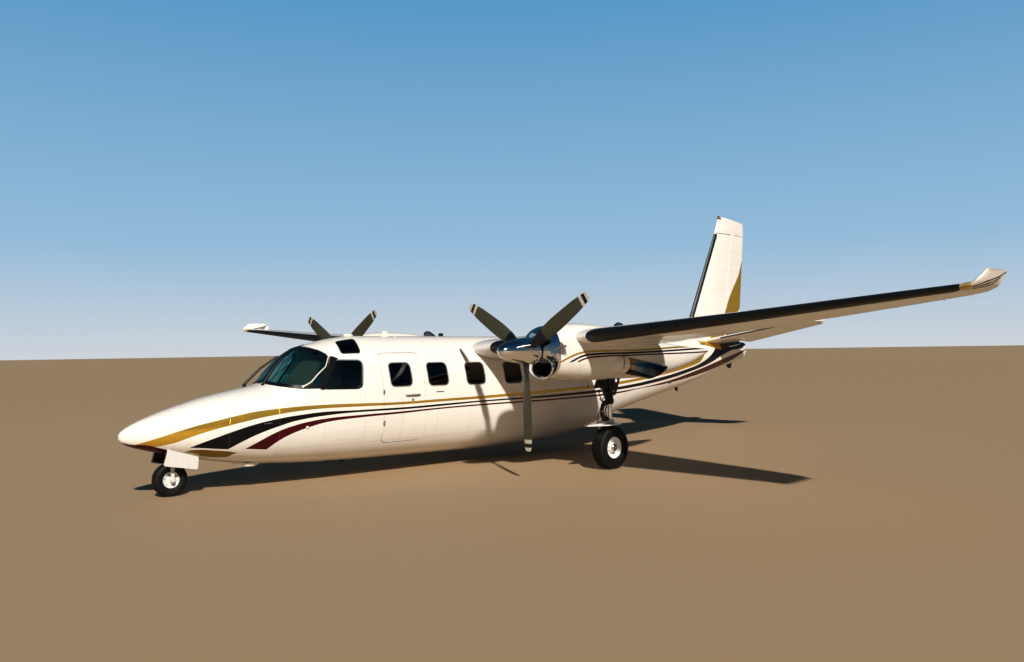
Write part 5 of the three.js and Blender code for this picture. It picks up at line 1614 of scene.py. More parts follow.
def bolt_ring(centre, count, reach, size, offset, phase=0.0):
    """Hexagon bolt heads with washers, set round an axle and facing outboard."""
    bolts = []
    for i in range(count):
        spot = around(centre, reach, phase + math.tau * i / count)
        bolts.append(pin(offset, offset + size * 0.3, size * 1.5, spot, "Y", 16))
        bolts.append(solid([(offset + size * 0.2, size), (offset + size * 1.1, size * 0.95)], spot, "Y", 6))
    return bolts


main_axle = Vector((0.575, nacelle_y, 0.305))
main_tyre = turned(ribbed_tyre(0.305, 0.152, 0.225, (-0.5, -0.17, 0.17, 0.5), 0.007), main_axle, "Y", 96)
main_hub = merged(
    turned(hub_profile(0.1515, 0.0315, 0.225), main_axle, "Y", 72),
    *[
        pin(0.0, 0.033, 0.011, around(main_axle, 0.105, a), "Y", 14)
        for a in (0.3, 0.3 + math.tau / 3, 0.3 + 2 * math.tau / 3)
    ]
)
hub_cap = turned(
    [
        (0.068, 0.0315), (0.074, 0.058), (0.084, 0.056), (0.095, 0.045), (0.1, 0.02), (0.101, 0.0),
        (0.068, 0.0), (0.068, 0.0315)
    ],
    main_axle, "Y", 40
)
main_bolts = merged(*bolt_ring(main_axle, 9, 0.082, 0.0065, 0.034, 0.2))
brake_disc = turned(
    [(-0.05, 0.07), (-0.05, 0.128), (-0.062, 0.128), (-0.062, 0.07), (-0.05, 0.07)], main_axle, "Y", 72
)
place_pair("main_tyre_ribbed", main_tyre, tyre_black, "tyre_rubber", ["main_tyre"], body="main_wheel_")
place_pair("main_hub_cast", main_hub, hub_white, "wheel_hub", ["main_wheel"], body="main_wheel_")
place_pair("main_hub_cap", hub_cap, bright_steel, "wheel_hub", body="main_wheel_")
place_pair("main_hub_bolts", main_bolts, brake_steel, "gear_steel", body="main_wheel_")
place_pair("main_brake_disc", brake_disc, brake_steel, "gear_steel", body="main_wheel_")

# Main gear legs: a dark cast cylinder on trunnions in the wheel bay, a polished piston, a half
# fork on the inboard side, scissor links ahead of the piston, brake hoses and a flat white
# door plate that lies over the tyre.
def beam(points, width, depth, side=(0.0, 1.0, 0.0), sides=12):
    """A forged bar of rounded section along points: width across, depth the other way."""
    points = [Vector(p) for p in points]
    widths = width if isinstance(width, (list, tuple)) else [width] * len(points)
    depths = depth if isinstance(depth, (list, tuple)) else [depth] * len(points)
    across = Vector(side).normalized()
    sections = []
    for i, point in enumerate(points):
        along = (points[min(i + 1, len(points) - 1)] - points[max(i - 1, 0)]).normalized()
        over = along.cross(across).normalized()
        ring = []
        for k in range(sides * 2):
            angle = math.tau * (k + 0.5) / (sides * 2)
            c, s = math.cos(angle), math.sin(angle)
            c, s = math.copysign(abs(c) ** 0.5, c), math.copysign(abs(s) ** 0.5, s)
            ring.append(point + across * c * widths[i] / 2 + over * s * depths[i] / 2)
        sections.append(ring)
    return loft(sections)


def twin_beams(points, width, depth):
    """A pair of bars, one on each side of the leg's middle."""
    return [beam([(x, y * sense, z) for x, y, z in points], width, depth) for sense in (-1, 1)]


leg_foot = (0.0, 0.0, 0.0)
to_leg = Matrix.Translation((main_axle.x, nacelle_y, 0.0))
cylinder = merged(
    solid(
        [
            (0.925, 0.05), (0.932, 0.058), (0.955, 0.066), (0.985, 0.066), (1.0, 0.057), (1.08, 0.057),
            (1.095, 0.067), (1.135, 0.067), (1.15, 0.058), (1.22, 0.06), (1.26, 0.075), (1.34, 0.08),
            (1.44, 0.07), (1.5996, 0.062)
        ],
        leg_foot, "Z", 40
    ),
    beam(
        [
            (0.02, -0.118, 1.36), (0.01, -0.06, 1.345), (0.0, 0.0, 1.33), (0.01, 0.06, 1.345),
            (0.02, 0.118, 1.36)
        ],
        0.07, [0.06, 0.08, 0.1, 0.08, 0.06], (1, 0, 0)
    ),
    *twin_beams([(0.02, 0.035, 0.965), (0.075, 0.03, 0.955), (0.1, 0.03, 0.95)], 0.02, 0.04)
)
brace = merged(
    *twin_beams(
        [(0.03, 0.045, 1.11), (0.075, 0.05, 1.16), (0.14, 0.05, 1.27), (0.16, 0.05, 1.34)], 0.016,
        [0.05, 0.07, 0.09, 0.06]
    ),
    pipe([(0.06, 0.0, 1.0), (0.15, 0.0, 1.23), (0.165, 0.0, 1.3)], 0.024, 20),
    pin(-0.07, 0.07, 0.02, (0.13, 0.0, 1.2), "Y", 20)
)
casting_outline = rounded_outline(
    [(-0.165, 1.33), (0.1, 1.33), (0.075, 1.12), (0.03, 1.05), (-0.05, 1.05), (-0.09, 1.14)], 0.03
)
casting_cuts = [
    pin(-0.2, 0.2, r, (x, 0.0, z), "Y", 24)
    for x, z, r in ((-0.075, 1.26, 0.032), (0.035, 1.22, 0.026), (-0.02, 1.11, 0.018))
]
casting = merged(
    *[
        less(prism(casting_outline, "XZ", y - 0.009, y + 0.009), *[cut.copy() for cut in casting_cuts])
        for y in (-0.07, 0.07)
    ]
)
link_plate = prism(
    rounded_outline([(0.255, 1.283), (0.32, 1.16), (0.11, 1.165), (0.1, 1.2)], 0.015), "XZ", -0.012, 0.012
)
piston = pin(0.68, 0.94, 0.0395, leg_foot, "Z", 40)
fork = merged(
    solid([(0.64, 0.052), (0.65, 0.058), (0.7, 0.058), (0.712, 0.05)], leg_foot, "Z", 36),
    beam(
        [
            (0.0, 0.05, 0.672), (0.0, 0.0, 0.676), (0.0, -0.09, 0.672), (0.0, -0.15, 0.655),
            (0.0, -0.168, 0.62)
        ],
        [0.09, 0.1, 0.1, 0.096, 0.09], [0.05, 0.07, 0.075, 0.07, 0.05], (1, 0, 0)
    ),
    beam(
        [
            (0.0, -0.165, 0.66), (0.0, -0.166, 0.55), (0.0, -0.166, 0.42), (0.0, -0.165, 0.34),
            (0.0, -0.165, 0.258)
        ],
        [0.092, 0.082, 0.08, 0.098, 0.08], [0.042, 0.042, 0.042, 0.044, 0.042], (1, 0, 0)
    ),
    solid(
        [(-0.19, 0.05), (-0.145, 0.05), (-0.14, 0.04), (-0.12, 0.0295), (0.062, 0.0295)],
        (0.0, 0.0, main_axle.z), "Y", 32
    ),
    beam([(-0.06, -0.125, 0.36), (-0.11, -0.09, 0.40), (-0.118, -0.06, 0.41)], 0.05, 0.07, (0, 0, 1)),
    *twin_beams([(0.03, 0.0, 0.69), (0.08, 0.028, 0.70), (0.1, 0.028, 0.70)], 0.02, 0.035)
)
scissors = merged(
    *twin_beams(
        [(0.09, 0.018, 0.95), (0.14, 0.016, 0.91), (0.165, 0.01, 0.842), (0.168, 0.008, 0.828)],
        [0.026, 0.022, 0.02, 0.026], [0.056, 0.044, 0.038, 0.046]
    ),
    *twin_beams(
        [(0.168, 0.014, 0.828), (0.15, 0.018, 0.765), (0.095, 0.02, 0.70)], [0.022, 0.022, 0.026],
        [0.046, 0.038, 0.05]
    ),
    pin(-0.045, 0.045, 0.015, (0.095, 0.0, 0.95), "Y", 16),
    pin(-0.045, 0.045, 0.015, (0.097, 0.0, 0.70), "Y", 16)
)
fittings = merged(
    pin(-0.04, 0.04, 0.014, (0.168, 0.0, 0.832), "Y", 16),
    solid([(0.0, 0.017), (0.03, 0.017), (0.034, 0.01)], (0.085, -0.02, 1.0), "Z", 16),
    solid([(0.0, 0.02), (0.018, 0.02), (0.024, 0.012)], (0.1, -0.05, 1.14), "X", 16),
    pin(0.0, 0.02, 0.012, (0.03, -0.02, 0.88), "X", 12),
)
hoses = merged(
    pipe(
        [
            (0.05, 0.05, 1.2), (0.09, 0.08, 1.12), (0.12, 0.07, 1.03), (0.09, 0.06, 0.96), (0.12, 0.05, 0.9),
            (0.15, 0.045, 0.83), (0.11, 0.04, 0.75), (0.05, 0.035, 0.7)
        ],
        0.009, 12
    ),
    pipe([(0.02, 0.06, 1.08), (0.06, 0.075, 1.04), (0.07, 0.07, 0.97), (0.045, 0.06, 0.93)], 0.010, 12),
    pipe([(0.09, -0.03, 1.07), (0.16, -0.03, 1.05), (0.175, -0.02, 1.0), (0.13, -0.02, 0.965)], 0.009, 12),
    pipe(
        [
            (0.06, -0.02, 1.22), (0.1, -0.06, 1.17), (0.13, -0.08, 1.09), (0.11, -0.075, 1.02),
            (0.075, -0.06, 0.99), (0.07, -0.055, 0.93)
        ],
        0.008, 12
    ),
    pipe(
        [
            (0.07, -0.055, 0.93), (0.12, -0.075, 0.85), (0.13, -0.1, 0.76), (0.09, -0.15, 0.69),
            (0.03, -0.195, 0.6), (-0.02, -0.2, 0.48), (-0.08, -0.15, 0.41)
        ],
        0.007, 12
    )
)
plate_plan = rounded_outline([
    (0.5, 0.0), (0.17, -0.175), (-0.06, -0.175), (-0.23, 0.0), (-0.06, 0.165), (0.17, 0.165),
], 0.06)
door_plate = merged(
    prism(plate_plan, "XY", 0.6325, 0.6375), prism(grown(plate_plan, -0.012), "XY", 0.6375, 0.646),
    beam([(0.36, 0.0, 0.645), (0.1, 0.0, 0.652), (-0.15, 0.0, 0.645)], 0.05, 0.014, (0, 1, 0)),
    box((0.06, -0.03, 0.64), (0.12, 0.03, 0.672)),
)
for name, form, finish, nodes in (
    ("main_leg_cylinder", cylinder, gear_dark, ["main_gear_leg"]),
    ("main_leg_brace", brace, gear_dark, []),
    ("main_leg_casting", casting, gear_dark, []),
    ("main_leg_plate", link_plate, gear_dark, []),
    ("main_leg_piston", piston, bright_steel, []),
    ("main_leg_fork", fork, gear_white, []),
    ("main_leg_scissors", scissors, gear_dark, []),
    ("main_leg_fittings", fittings, bright_steel, []),
    ("main_brake_hoses", hoses, tyre_black, []),
    ("main_gear_plate", door_plate, gear_white, []),
):
    form.transform(to_leg)
    place_pair(name, form, finish, "gear_steel", nodes)


def bay_box(reach, half, low, high):
    """A box about the leg, as long and wide as the wheel bay."""
    return box((main_axle.x - reach, nacelle_y - half, low), (main_axle.x + reach, nacelle_y + half, high))


bay_lining = less(
    bay_box(0.169, 0.119, 1.19, 1.6), bay_box(0.165, 0.115, 1.1, 1.58),
    less(box((0.3, nacelle_y - 0.2, 1.1), (0.8, nacelle_y + 0.2, 1.4)), nacelle(-1.0, 1.5, -0.003))
)
place_pair("main_bay_lining", bay_lining, gear_dark, "body_paint", angle=30)

# Nose gear: a short leg braced to the rear in the open bay, a steering fork with a polished
# collar, a white bolted hub and a ribbed tyre.
nx, nz = 5.955, 0.203
nose_leg = merged(
    solid(
        [
            (0.4702, 0.04), (0.476, 0.05), (0.5, 0.05), (0.51, 0.043), (0.6, 0.043), (0.61, 0.05),
            (0.64, 0.05), (0.65, 0.046), (0.7996, 0.046)
        ],
        (nx, 0.0, 0.0), "Z", 40
    ),
    pipe([(nx - 0.03, 0.0, 0.56), (nx - 0.2, 0.0, 0.78)], 0.019, 20),
    beam([(nx - 0.02, 0.0, 0.63), (nx - 0.05, 0.0, 0.66), (nx - 0.075, 0.0, 0.70)], 0.07, 0.04),
    pin(-0.1, 0.1, 0.018, (nx, 0.0, 0.72), "Y", 20)
)
place("nose_leg", nose_leg, gear_white, "gear_steel", ["nose_gear_leg"])
arm_outline = rounded_outline(
    [
        (nx - 0.03, 0.445), (nx - 0.024, 0.36), (nx - 0.02, 0.25), (nx - 0.026, 0.2), (nx - 0.02, 0.177),
        (nx + 0.02, 0.177), (nx + 0.026, 0.2), (nx + 0.02, 0.25), (nx + 0.024, 0.36), (nx + 0.03, 0.445)
    ],
    0.016
)
nose_fork_form = merged(
    solid([(0.44, 0.044), (0.45, 0.048), (0.4602, 0.048), (0.4694, 0.04)], (nx, 0.0, 0.0), "Z", 40),
    beam(
        [
            (nx, -0.106, 0.432), (nx, -0.085, 0.438), (nx, -0.03, 0.442), (nx, 0.03, 0.442),
            (nx, 0.085, 0.438), (nx, 0.106, 0.432)
        ],
        [0.056, 0.07, 0.086, 0.086, 0.07, 0.056], [0.026, 0.03, 0.034, 0.034, 0.03, 0.026], (1, 0, 0)
    ),
    prism(arm_outline, "XZ", 0.0925, 0.1075), mirrored(prism(arm_outline, "XZ", 0.0925, 0.1075)),
    solid(
        [
            (-0.118, 0.022), (-0.107, 0.026), (-0.09, 0.026), (-0.088, 0.0155), (0.088, 0.0155),
            (0.09, 0.026), (0.107, 0.026), (0.118, 0.022)
        ],
        (nx, 0.0, nz), "Y", 28
    )
)
place("nose_fork_form", nose_fork_form, gear_white, "gear_steel", ["nose_gear_fork"], body="nose_fork")
nose_axle = Vector((nx, 0.0, nz))
nose_tyre_form = turned(ribbed_tyre(0.203, 0.1, 0.15, (-0.42, 0.0, 0.42), 0.005), nose_axle, "Y", 80)
nose_hub_form = turned(hub_profile(0.0995, 0.0175, 0.15, dished=False), nose_axle, "Y", 64)
one_side = bolt_ring(nose_axle, 6, 0.056, 0.0055, 0.041, 0.4)
nose_bolts = merged(*one_side, *[mirrored(bolt) for bolt in one_side])
hub_holes = [
    pin(0.038, 0.0418, 0.0065, around(nose_axle, 0.076, a), "Y", 14)
    for a in (0.2, 1.25, 2.3, 3.35, 4.4, 5.45)
]
place("nose_tyre_ribbed", nose_tyre_form, tyre_black, "tyre_rubber", ["nose_tyre"], body="nose_wheel")
place("nose_hub_cast", nose_hub_form, hub_white, "wheel_hub", ["nose_wheel"], body="nose_wheel")
place("nose_hub_bolts", nose_bolts, hub_white, "gear_steel", body="nose_wheel")
place(
    "nose_hub_vents", merged(*hub_holes, *[mirrored(hole) for hole in hub_holes]), gear_dark, "gear_steel",
    body="nose_wheel"
)

# Nose wheel doors: flat pressed skins on both sides of the bay, white outside, with a stiffened inner side
# and two hinge arms each.
# The inner side, its stiffeners and hinge arms are near black: painted shade for the shadow in the bay.
nose_door_outline = rounded_outline(
    [(5.692, 0.318), (6.108, 0.4), (6.062, 0.552), (6.062, 0.64), (5.676, 0.64)], 0.03
)
door_skin = less(prism(nose_door_outline, "XZ", 0.2165, 0.222), hull(5.4, 6.3, 0.0005))
# The door's inner side, near black as painted shade for the shadow in the bay
door_inner = less(prism(grown(nose_door_outline, -0.014), "XZ", 0.2122, 0.2165), hull(5.4, 6.3, 0.002))
ribs = merged(
    beam([(5.74, 0.2105, 0.345), (6.06, 0.2105, 0.41)], 0.006, 0.018),
    beam([(5.83, 0.2105, 0.37), (5.82, 0.2105, 0.47)], 0.006, 0.018),
    beam([(5.97, 0.2105, 0.40), (5.96, 0.2105, 0.50)], 0.006, 0.018),
    pipe([(5.83, 0.206, 0.44), (5.83, 0.17, 0.5), (5.83, 0.14, 0.56)], 0.008, 12),
    pipe([(5.99, 0.206, 0.47), (5.99, 0.17, 0.52), (5.99, 0.14, 0.58)], 0.008, 12)
)
place_pair("nose_door_skin", door_skin, gear_white, "body_paint", ["nose_gear_door"])
# Inner sides, stiffeners and hinge arms in near-black gear_dark: painted shade
place_pair("nose_door_inner", door_inner, gear_dark, "body_paint")
place_pair("nose_door_ribs", ribs, gear_dark, "gear_steel")
nose_bay = less(
    box((5.621, -0.129, 0.35), (6.099, 0.129, 0.799)), box((5.625, -0.125, 0.2), (6.095, 0.125, 0.79)),
    less(box((5.5, -0.3, 0.2), (6.3, 0.3, 0.75)), hull(5.3, 6.4, -0.003))
)
place("nose_bay_lining", nose_bay, gear_dark, "body_paint", angle=30)

# Seats: two crew seats, two cabin seats that face back and a rear bench. Foam cushions under
# cream leather stand on a steel pan and a pedestal that is bolted to the floor tracks.
def leather_finish():
    """Cream leather with a fine pebbled grain, worn smoother and darker in soft patches."""
    finish, tree, shader, point, split = new_material("seat_leather")
    pebble = tree.nodes.new("ShaderNodeTexVoronoi")
    pebble.feature = "DISTANCE_TO_EDGE"
    pebble.inputs["Scale"].default_value = 420.0
    tree.links.new(point, pebble.inputs["Vector"])
    grain = ramp_between(tree, pebble.outputs["Distance"], 0.0, 0.12)
    worn = ramp_between(tree, noise(tree, point, 7.0, 4.0), 0.45, 0.8)
    shade = mixed(tree, worn, (0.40, 0.33, 0.24, 1), (0.30, 0.235, 0.16, 1))
    tree.links.new(mixed(tree, grain, (0.2, 0.16, 0.11, 1), shade), shader.inputs["Base Color"])
    tree.links.new(sums(tree, "MULTIPLY_ADD", worn, -0.12, 0.5), shader.inputs["Roughness"])
    raised(tree, shader, grain, 0.35, 0.0006)
    return finish


def foam_block(size, corner):
    """A foam block with round edges, about the origin."""
    bm = bmesh.new()
    bmesh.ops.create_cube(bm, size=1.0)
    bmesh.ops.scale(bm, verts=bm.verts, vec=Vector(size))
    bmesh.ops.bevel(
        bm, geom=list(bm.edges), offset=corner, segments=4, profile=0.5, affect="EDGES", material=-1
    )
    return finished(bm)


def covered(mesh, most):
    """Blows a foam block up inside its cover: cloth under pressure, held to a largest move."""
    block = bpy.data.objects.new("block", mesh)
    scene.collection.objects.link(block)
    remesh = block.modifiers.new("remesh", "REMESH")
    remesh.mode = "VOXEL"
    remesh.voxel_size = 0.009
    fine = bpy.data.meshes.new_from_object(block.evaluated_get(bpy.context.evaluated_depsgraph_get()))
    bpy.data.objects.remove(block)
    block = bpy.data.objects.new("block", fine)
    scene.collection.objects.link(block)
    cloth = block.modifiers.new("cloth", "CLOTH")
    cloth.settings.use_pressure = True
    cloth.settings.uniform_pressure_force = 4.0
    cloth.settings.effector_weights.gravity = 0.0
    for step in range(1, 21):
        scene.frame_set(step)
    full = bpy.data.meshes.new_from_object(block.evaluated_get(bpy.context.evaluated_depsgraph_get()))
    for before, after in zip(fine.vertices, full.vertices):
        move = after.co - before.co
        if move.length > most:
            after.co = before.co + move.normalized() * most
    bpy.data.objects.remove(block)
    scene.frame_set(1)
    return full


seat_leather = leather_finish()
seat_steel = new_finish("seat_steel", (0.09, 0.09, 0.095, 1), 0.4, 0.6, scale=50)
floor_top = 0.37
# Seat: station, side of the middle, width and the way it faces
seats = {
    "crew_seat_left": (3.83, 0.265, 0.39, 1), "crew_seat_right": (3.83, -0.265, 0.39, 1),
    "cabin_seat_left": (2.15, 0.29, 0.40, -1), "cabin_seat_right": (2.15, -0.29, 0.40, -1),
    "aft_bench": (0.52, 0.0, 0.90, 1),
}
cushion_sets = {
    width: (
        covered(foam_block((0.385, width - 0.03, 0.15), 0.035), 0.012),
        covered(foam_block((0.075, width - 0.035, 0.36), 0.03), 0.012),
        covered(foam_block((0.06, min(width - 0.12, 0.3), 0.10), 0.026), 0.008),
    )
    for width in (0.39, 0.40, 0.90)
}
for name, (x, y, width, facing) in seats.items():
    turn = Matrix.Translation((x, y, 0.0)) @ Matrix.Rotation(0.0 if facing > 0 else math.pi, 4, "Z")
    lean = Matrix.Rotation(math.radians(-12.5), 4, "Y")
    frame_form = merged(
        box((-0.29, -width / 2 + 0.01, 0.565), (0.1, width / 2 - 0.01, 0.592)),
        box((-0.25, -0.11, floor_top + 0.012), (-0.02, -0.095, 0.57)),
        box((-0.25, 0.075, floor_top + 0.012), (-0.02, 0.09, 0.57)),
        box((-0.26, -0.11, floor_top), (0.0, 0.09, floor_top + 0.012)),
        pipe(
            [
                (-0.31, 0.08 - width / 2, 0.58), (-0.345, 0.08 - width / 2, 0.66),
                (-0.43, 0.08 - width / 2, 1.1)
            ],
            0.01, 12
        ),
        pipe(
            [
                (-0.31, width / 2 - 0.08, 0.58), (-0.345, width / 2 - 0.08, 0.66),
                (-0.43, width / 2 - 0.08, 1.1)
            ],
            0.01, 12
        )
    )
    frame_form.transform(turn)
    place(name + "_frame", frame_form, seat_steel, "gear_steel", [name], angle=35)
    spots = ((-0.083, 0.0, 0.678), (-0.368, 0.0, 0.945), (-0.425, 0.0, 1.195))
    for part, form, spot in zip(("cushion", "back", "head"), cushion_sets[width], spots):
        form = form.copy()
        form.transform(turn @ Matrix.Translation(spot) @ (lean if part != "cushion" else Matrix.Identity(4)))
        place(name + "_" + part, form, seat_leather, "seat_leather", angle=80)

# Cockpit and cabin fittings: black panel with round dials, two control wheels, a looped
# carpet on the floor, and the bare engine blocks behind the cowls.
panel_black = new_finish("panel_black", (0.016, 0.016, 0.017, 1), 0.7, mottle=0.3, scale=120)
dial_face = new_finish("dial_face", (0.01, 0.01, 0.012, 1), 0.25, scale=30)
carpet_brown = new_finish("carpet_brown", (0.13, 0.095, 0.06, 1), 0.95, mottle=0.5, scale=700, relief=0.8)
block_grey = new_finish("block_grey", (0.15, 0.15, 0.155, 1), 0.5, 0.7, mottle=0.4, scale=25)
for node, finish in (
    ("instrument_panel", panel_black), ("cabin_floor", carpet_brown), ("engine_left", block_grey),
    ("engine_right", block_grey)
):
    for surface in bpy.data.objects[node].material_slots:
        surface.material = finish
dials, bezels = [], []
for row, z in enumerate((1.13, 1.03)):
    for i in range(7):
        y = -0.36 + 0.12 * i
        spot = (4.246 if row == 0 else 4.262, y, z)
        dials.append(pin(0.0, 0.004, 0.036, spot, "X", 28))
        bezels.append(
            turned(
                [(-0.008, 0.036), (-0.008, 0.042), (0.004, 0.042), (0.004, 0.036), (-0.008, 0.036)], spot,
                "X", 28
            )
        )
place("panel_dials", merged(*dials), dial_face, "instrument_panel")
place("panel_bezels", merged(*bezels), seat_steel, "instrument_panel")
yokes = []
for y in (-0.265, 0.265):
    yokes.append(pipe([(4.33, y, 0.93), (4.2, y, 0.93), (4.13, y, 0.93)], 0.014, 14))
    grips = [
        (4.11, y - 0.14, 1.02), (4.115, y - 0.145, 0.95), (4.12, y - 0.1, 0.92), (4.125, y, 0.925),
        (4.12, y + 0.1, 0.92), (4.115, y + 0.145, 0.95), (4.11, y + 0.14, 1.02)
    ]
    yokes.append(pipe(grips, 0.013, 14))
place("control_wheels", merged(*yokes), panel_black, "instrument_panel")

# Windscreen wipers and rods: a white arm at each side of the screen, and a black rod that
# stands on the nose ahead of each pane.
def stud(point, normal, profile, sides=16):
    """A small turned part that stands on the skin, along a given direction."""
    part = turned(profile, (0.0, 0.0, 0.0), "Z", sides)
    part.transform(Matrix.Translation(point) @ Vector(normal).to_track_quat("Z", "Y").to_matrix().to_4x4())
    return part


def low_dome(x, y, z, length, width, height):
    """A shallow oval housing on the skin; a negative height stands down."""
    sections = []
    for share, reach in ((-0.25, 1.0), (0.25, 1.0), (0.6, 0.93), (0.85, 0.78), (1.0, 0.5)):
        ring = [i * math.tau / 32 for i in range(32)]
        sections.append(
            [
                Vector(
                    (
                        x + math.cos(a) * length / 2 * reach, y + math.sin(a) * width / 2 * reach,
                        z + height * share
                    )
                )
                for a in ring
            ]
        )
    return loft(sections)


fitting_white = new_finish("fitting_white", (0.76, 0.72, 0.63, 1), 0.35, mottle=0.1, scale=60)
fitting_black = new_finish("fitting_black", (0.006, 0.006, 0.007, 1), 0.45, mottle=0.3, scale=60)
fitting_steel = new_finish("fitting_steel", (0.48, 0.49, 0.5, 1), 0.3, 1.0, mottle=0.2, scale=70)
wiper_line = [
    (4.463, 0.578, 1.29), (4.424, 0.588, 1.306), (4.354, 0.595, 1.345), (4.239, 0.575, 1.449),
    (4.122, 0.552, 1.535), (4.062, 0.5, 1.632), (4.026, 0.462, 1.69)
]
wiper_arm = merged(
    pipe(wiper_line, [0.012, 0.011, 0.01, 0.009, 0.008, 0.007, 0.006], 12),
    stud((4.463, 0.572, 1.283), (0.2, 0.75, 0.6), [(-0.01, 0.0), (-0.01, 0.02), (0.012, 0.018), (0.016, 0.0)])
)
place_pair("wiper_arm", wiper_arm, fitting_white, "body_paint")
for side, base, middle, top in (
    ("right", (4.925, -0.16, 1.32), (4.72, -0.12, 1.525), (4.49, -0.08, 1.68)),
    ("left", (4.81, 0.15, 1.325), (4.66, 0.125, 1.52), (4.49, 0.1, 1.67)),
):
    screen_rod = merged(
        pipe([base, middle, top], [0.017, 0.016, 0.014], 12),
        stud(
            (base[0], base[1], base[2] - 0.015), (0.3, 0.1, 1.0),
            [(-0.02, 0.0), (-0.02, 0.026), (0.02, 0.022), (0.024, 0.0)]
        )
    )
    place("screen_rod_" + side, screen_rod, fitting_black, "instrument_panel")

# Cabin door fittings: a bar handle, a flush lock, and two hinges with steel pins. Each hinge
# has a lower knuckle on the frame of the doorway and an upper one on the door.
handle_y = skin_half_width(2.84, 1.108)
handle = merged(
    pipe(
        [
            (2.955, handle_y + 0.004, 1.108), (2.945, handle_y + 0.018, 1.108),
            (2.84, handle_y + 0.02, 1.108), (2.73, handle_y + 0.018, 1.108), (2.717, handle_y + 0.004, 1.108)
        ],
        0.011, 12
    ),
    stud(
        (2.94, handle_y - 0.001, 1.108), (0, 1, 0),
        [(-0.006, 0.0), (-0.006, 0.016), (0.004, 0.014), (0.004, 0.0)]
    ),
    stud(
        (2.735, handle_y - 0.001, 1.108), (0, 1, 0),
        [(-0.006, 0.0), (-0.006, 0.016), (0.004, 0.014), (0.004, 0.0)]
    ),
    stud(
        (2.84, skin_half_width(2.84, 1.045), 1.045), (0, 1, 0),
        [(-0.006, 0.0), (-0.006, 0.018), (0.003, 0.018), (0.004, 0.01), (0.004, 0.0)]
    )
)
place("door_handle", handle, fitting_steel, "polished_metal", body="cabin_door")
lock_slot = skin_half_width(2.36, 1.136)
place(
    "cabin_slot", box((2.291, lock_slot - 0.006, 1.13), (2.425, lock_slot + 0.0025, 1.142)), fitting_black,
    "instrument_panel", angle=30
)
knuckle_x, knuckle_y = 3.3182, 0.716
frame_knuckles, door_knuckles = [], []
for z in (0.76, 1.18):
    centre = (knuckle_x, knuckle_y, z)
    frame_knuckles.append(pin(-0.02, -0.0005, 0.0105, centre, "Z", 24))
    frame_knuckles.append(
        box((knuckle_x - 0.002, knuckle_y - 0.035, z - 0.019), (knuckle_x + 0.01, knuckle_y, z - 0.002))
    )
    door_knuckles.append(solid([(0.0006, 0.0105), (0.02, 0.0105), (0.022, 0.007)], centre, "Z", 24))
    door_knuckles.append(
        box((knuckle_x - 0.01, knuckle_y - 0.035, z + 0.002), (knuckle_x - 0.001, knuckle_y, z + 0.019))
    )
place("frame_knuckles", merged(*frame_knuckles), fitting_steel, "gear_steel")
place("door_knuckles", merged(*door_knuckles), fitting_steel, "gear_steel", body="cabin_door")

# Aerials, probes and lamps: white glass-fibre housings and blades on the roof and belly, pitot
# probes on the nose, and glass lamp covers.
roof = hull_top
aerials = merged(
    prism(
        rounded_outline(
            [(2.93, roof(2.93) - 0.004), (2.865, 2.026), (2.8, 2.026), (2.775, roof(2.775) - 0.004)], 0.012
        ),
        "XZ", -0.007, 0.007
    ),
    low_dome(3.451, 0.0, roof(3.45) + 0.004, 0.15, 0.075, 0.028),
    low_dome(2.655, 0.0, roof(2.655) + 0.004, 0.05, 0.03, 0.028),
    low_dome(5.01, 0.2, hull_bottom(5.01) + 0.012, 0.2, 0.07, -0.045),
    low_dome(5.01, -0.2, hull_bottom(5.01) + 0.012, 0.2, 0.07, -0.045)
)
place("roof_aerials", aerials, fitting_white, "body_paint")
belly_blade = merged(
    prism(
        rounded_outline(
            [
                (3.62, hull_bottom(3.6) + 0.006), (3.6, 0.183), (3.555, 0.183),
                (3.52, hull_bottom(3.52) + 0.006)
            ],
            0.01
        ),
        "XZ", -0.006, 0.006
    ),
    prism(
        rounded_outline(
            [
                (-3.98, hull_bottom(-3.98) + 0.006), (-4.06, 0.85), (-4.1, 0.85),
                (-4.12, hull_bottom(-4.12) + 0.01)
            ],
            0.01
        ),
        "XZ", -0.007, 0.007
    ),
    prism(
        rounded_outline(
            [
                (-5.8, hull_bottom(-5.8) + 0.01), (-5.9, 1.262), (-5.96, 1.262),
                (-6.02, hull_bottom(-6.02) + 0.01)
            ],
            0.02
        ),
        "XZ", -0.012, 0.012
    )
)
place("belly_blades", belly_blade, fitting_black, "tyre_rubber")
probe = merged(
    pipe(
        [(4.9, skin_half_width(4.9, 0.85) - 0.006, 0.85), (4.915, 0.612, 0.85), (4.94, 0.62, 0.85)], 0.007, 12
    ),
    pipe([(4.92, 0.62, 0.85), (5.02, 0.62, 0.85)], [0.008, 0.006], 14)
)
place_pair("nose_probe", probe, fitting_steel, "polished_metal")
side_lamp = stud(
    (4.438, skin_half_width(4.438, 0.763), 0.763), (0.1, 1, -0.1),
    [(-0.008, 0.0), (-0.008, 0.022), (0.006, 0.02), (0.014, 0.012), (0.016, 0.0)], 24
)
place_pair("side_lamp", side_lamp, fitting_white, "body_paint")
screw_profile = [(-0.004, 0.0), (-0.004, 0.009), (0.002, 0.008), (0.003, 0.0)]
nose_screws = merged(*[
    stud((x, y, z), (0.25, y * 2.0, 0.8), screw_profile, 12)
    for x, y, z in ((5.26, 0.316, 1.165), (5.271, 0.369, 1.13), (5.199, 0.237, 1.21))
])
place_pair("nose_fasteners", nose_screws, fitting_black, "gear_steel")
beacon_red, beacon_tree, beacon_shader, _, beacon_split = new_material("beacon_red")
beacon_rings = sums(beacon_tree, "PINGPONG", beacon_split["Z"], 0.004)
beacon_tree.links.new(
    mixed(
        beacon_tree, times(beacon_tree, beacon_rings, 250.0), (0.22, 0.006, 0.006, 1), (0.1, 0.003, 0.003, 1)
    ),
    beacon_shader.inputs["Base Color"]
)
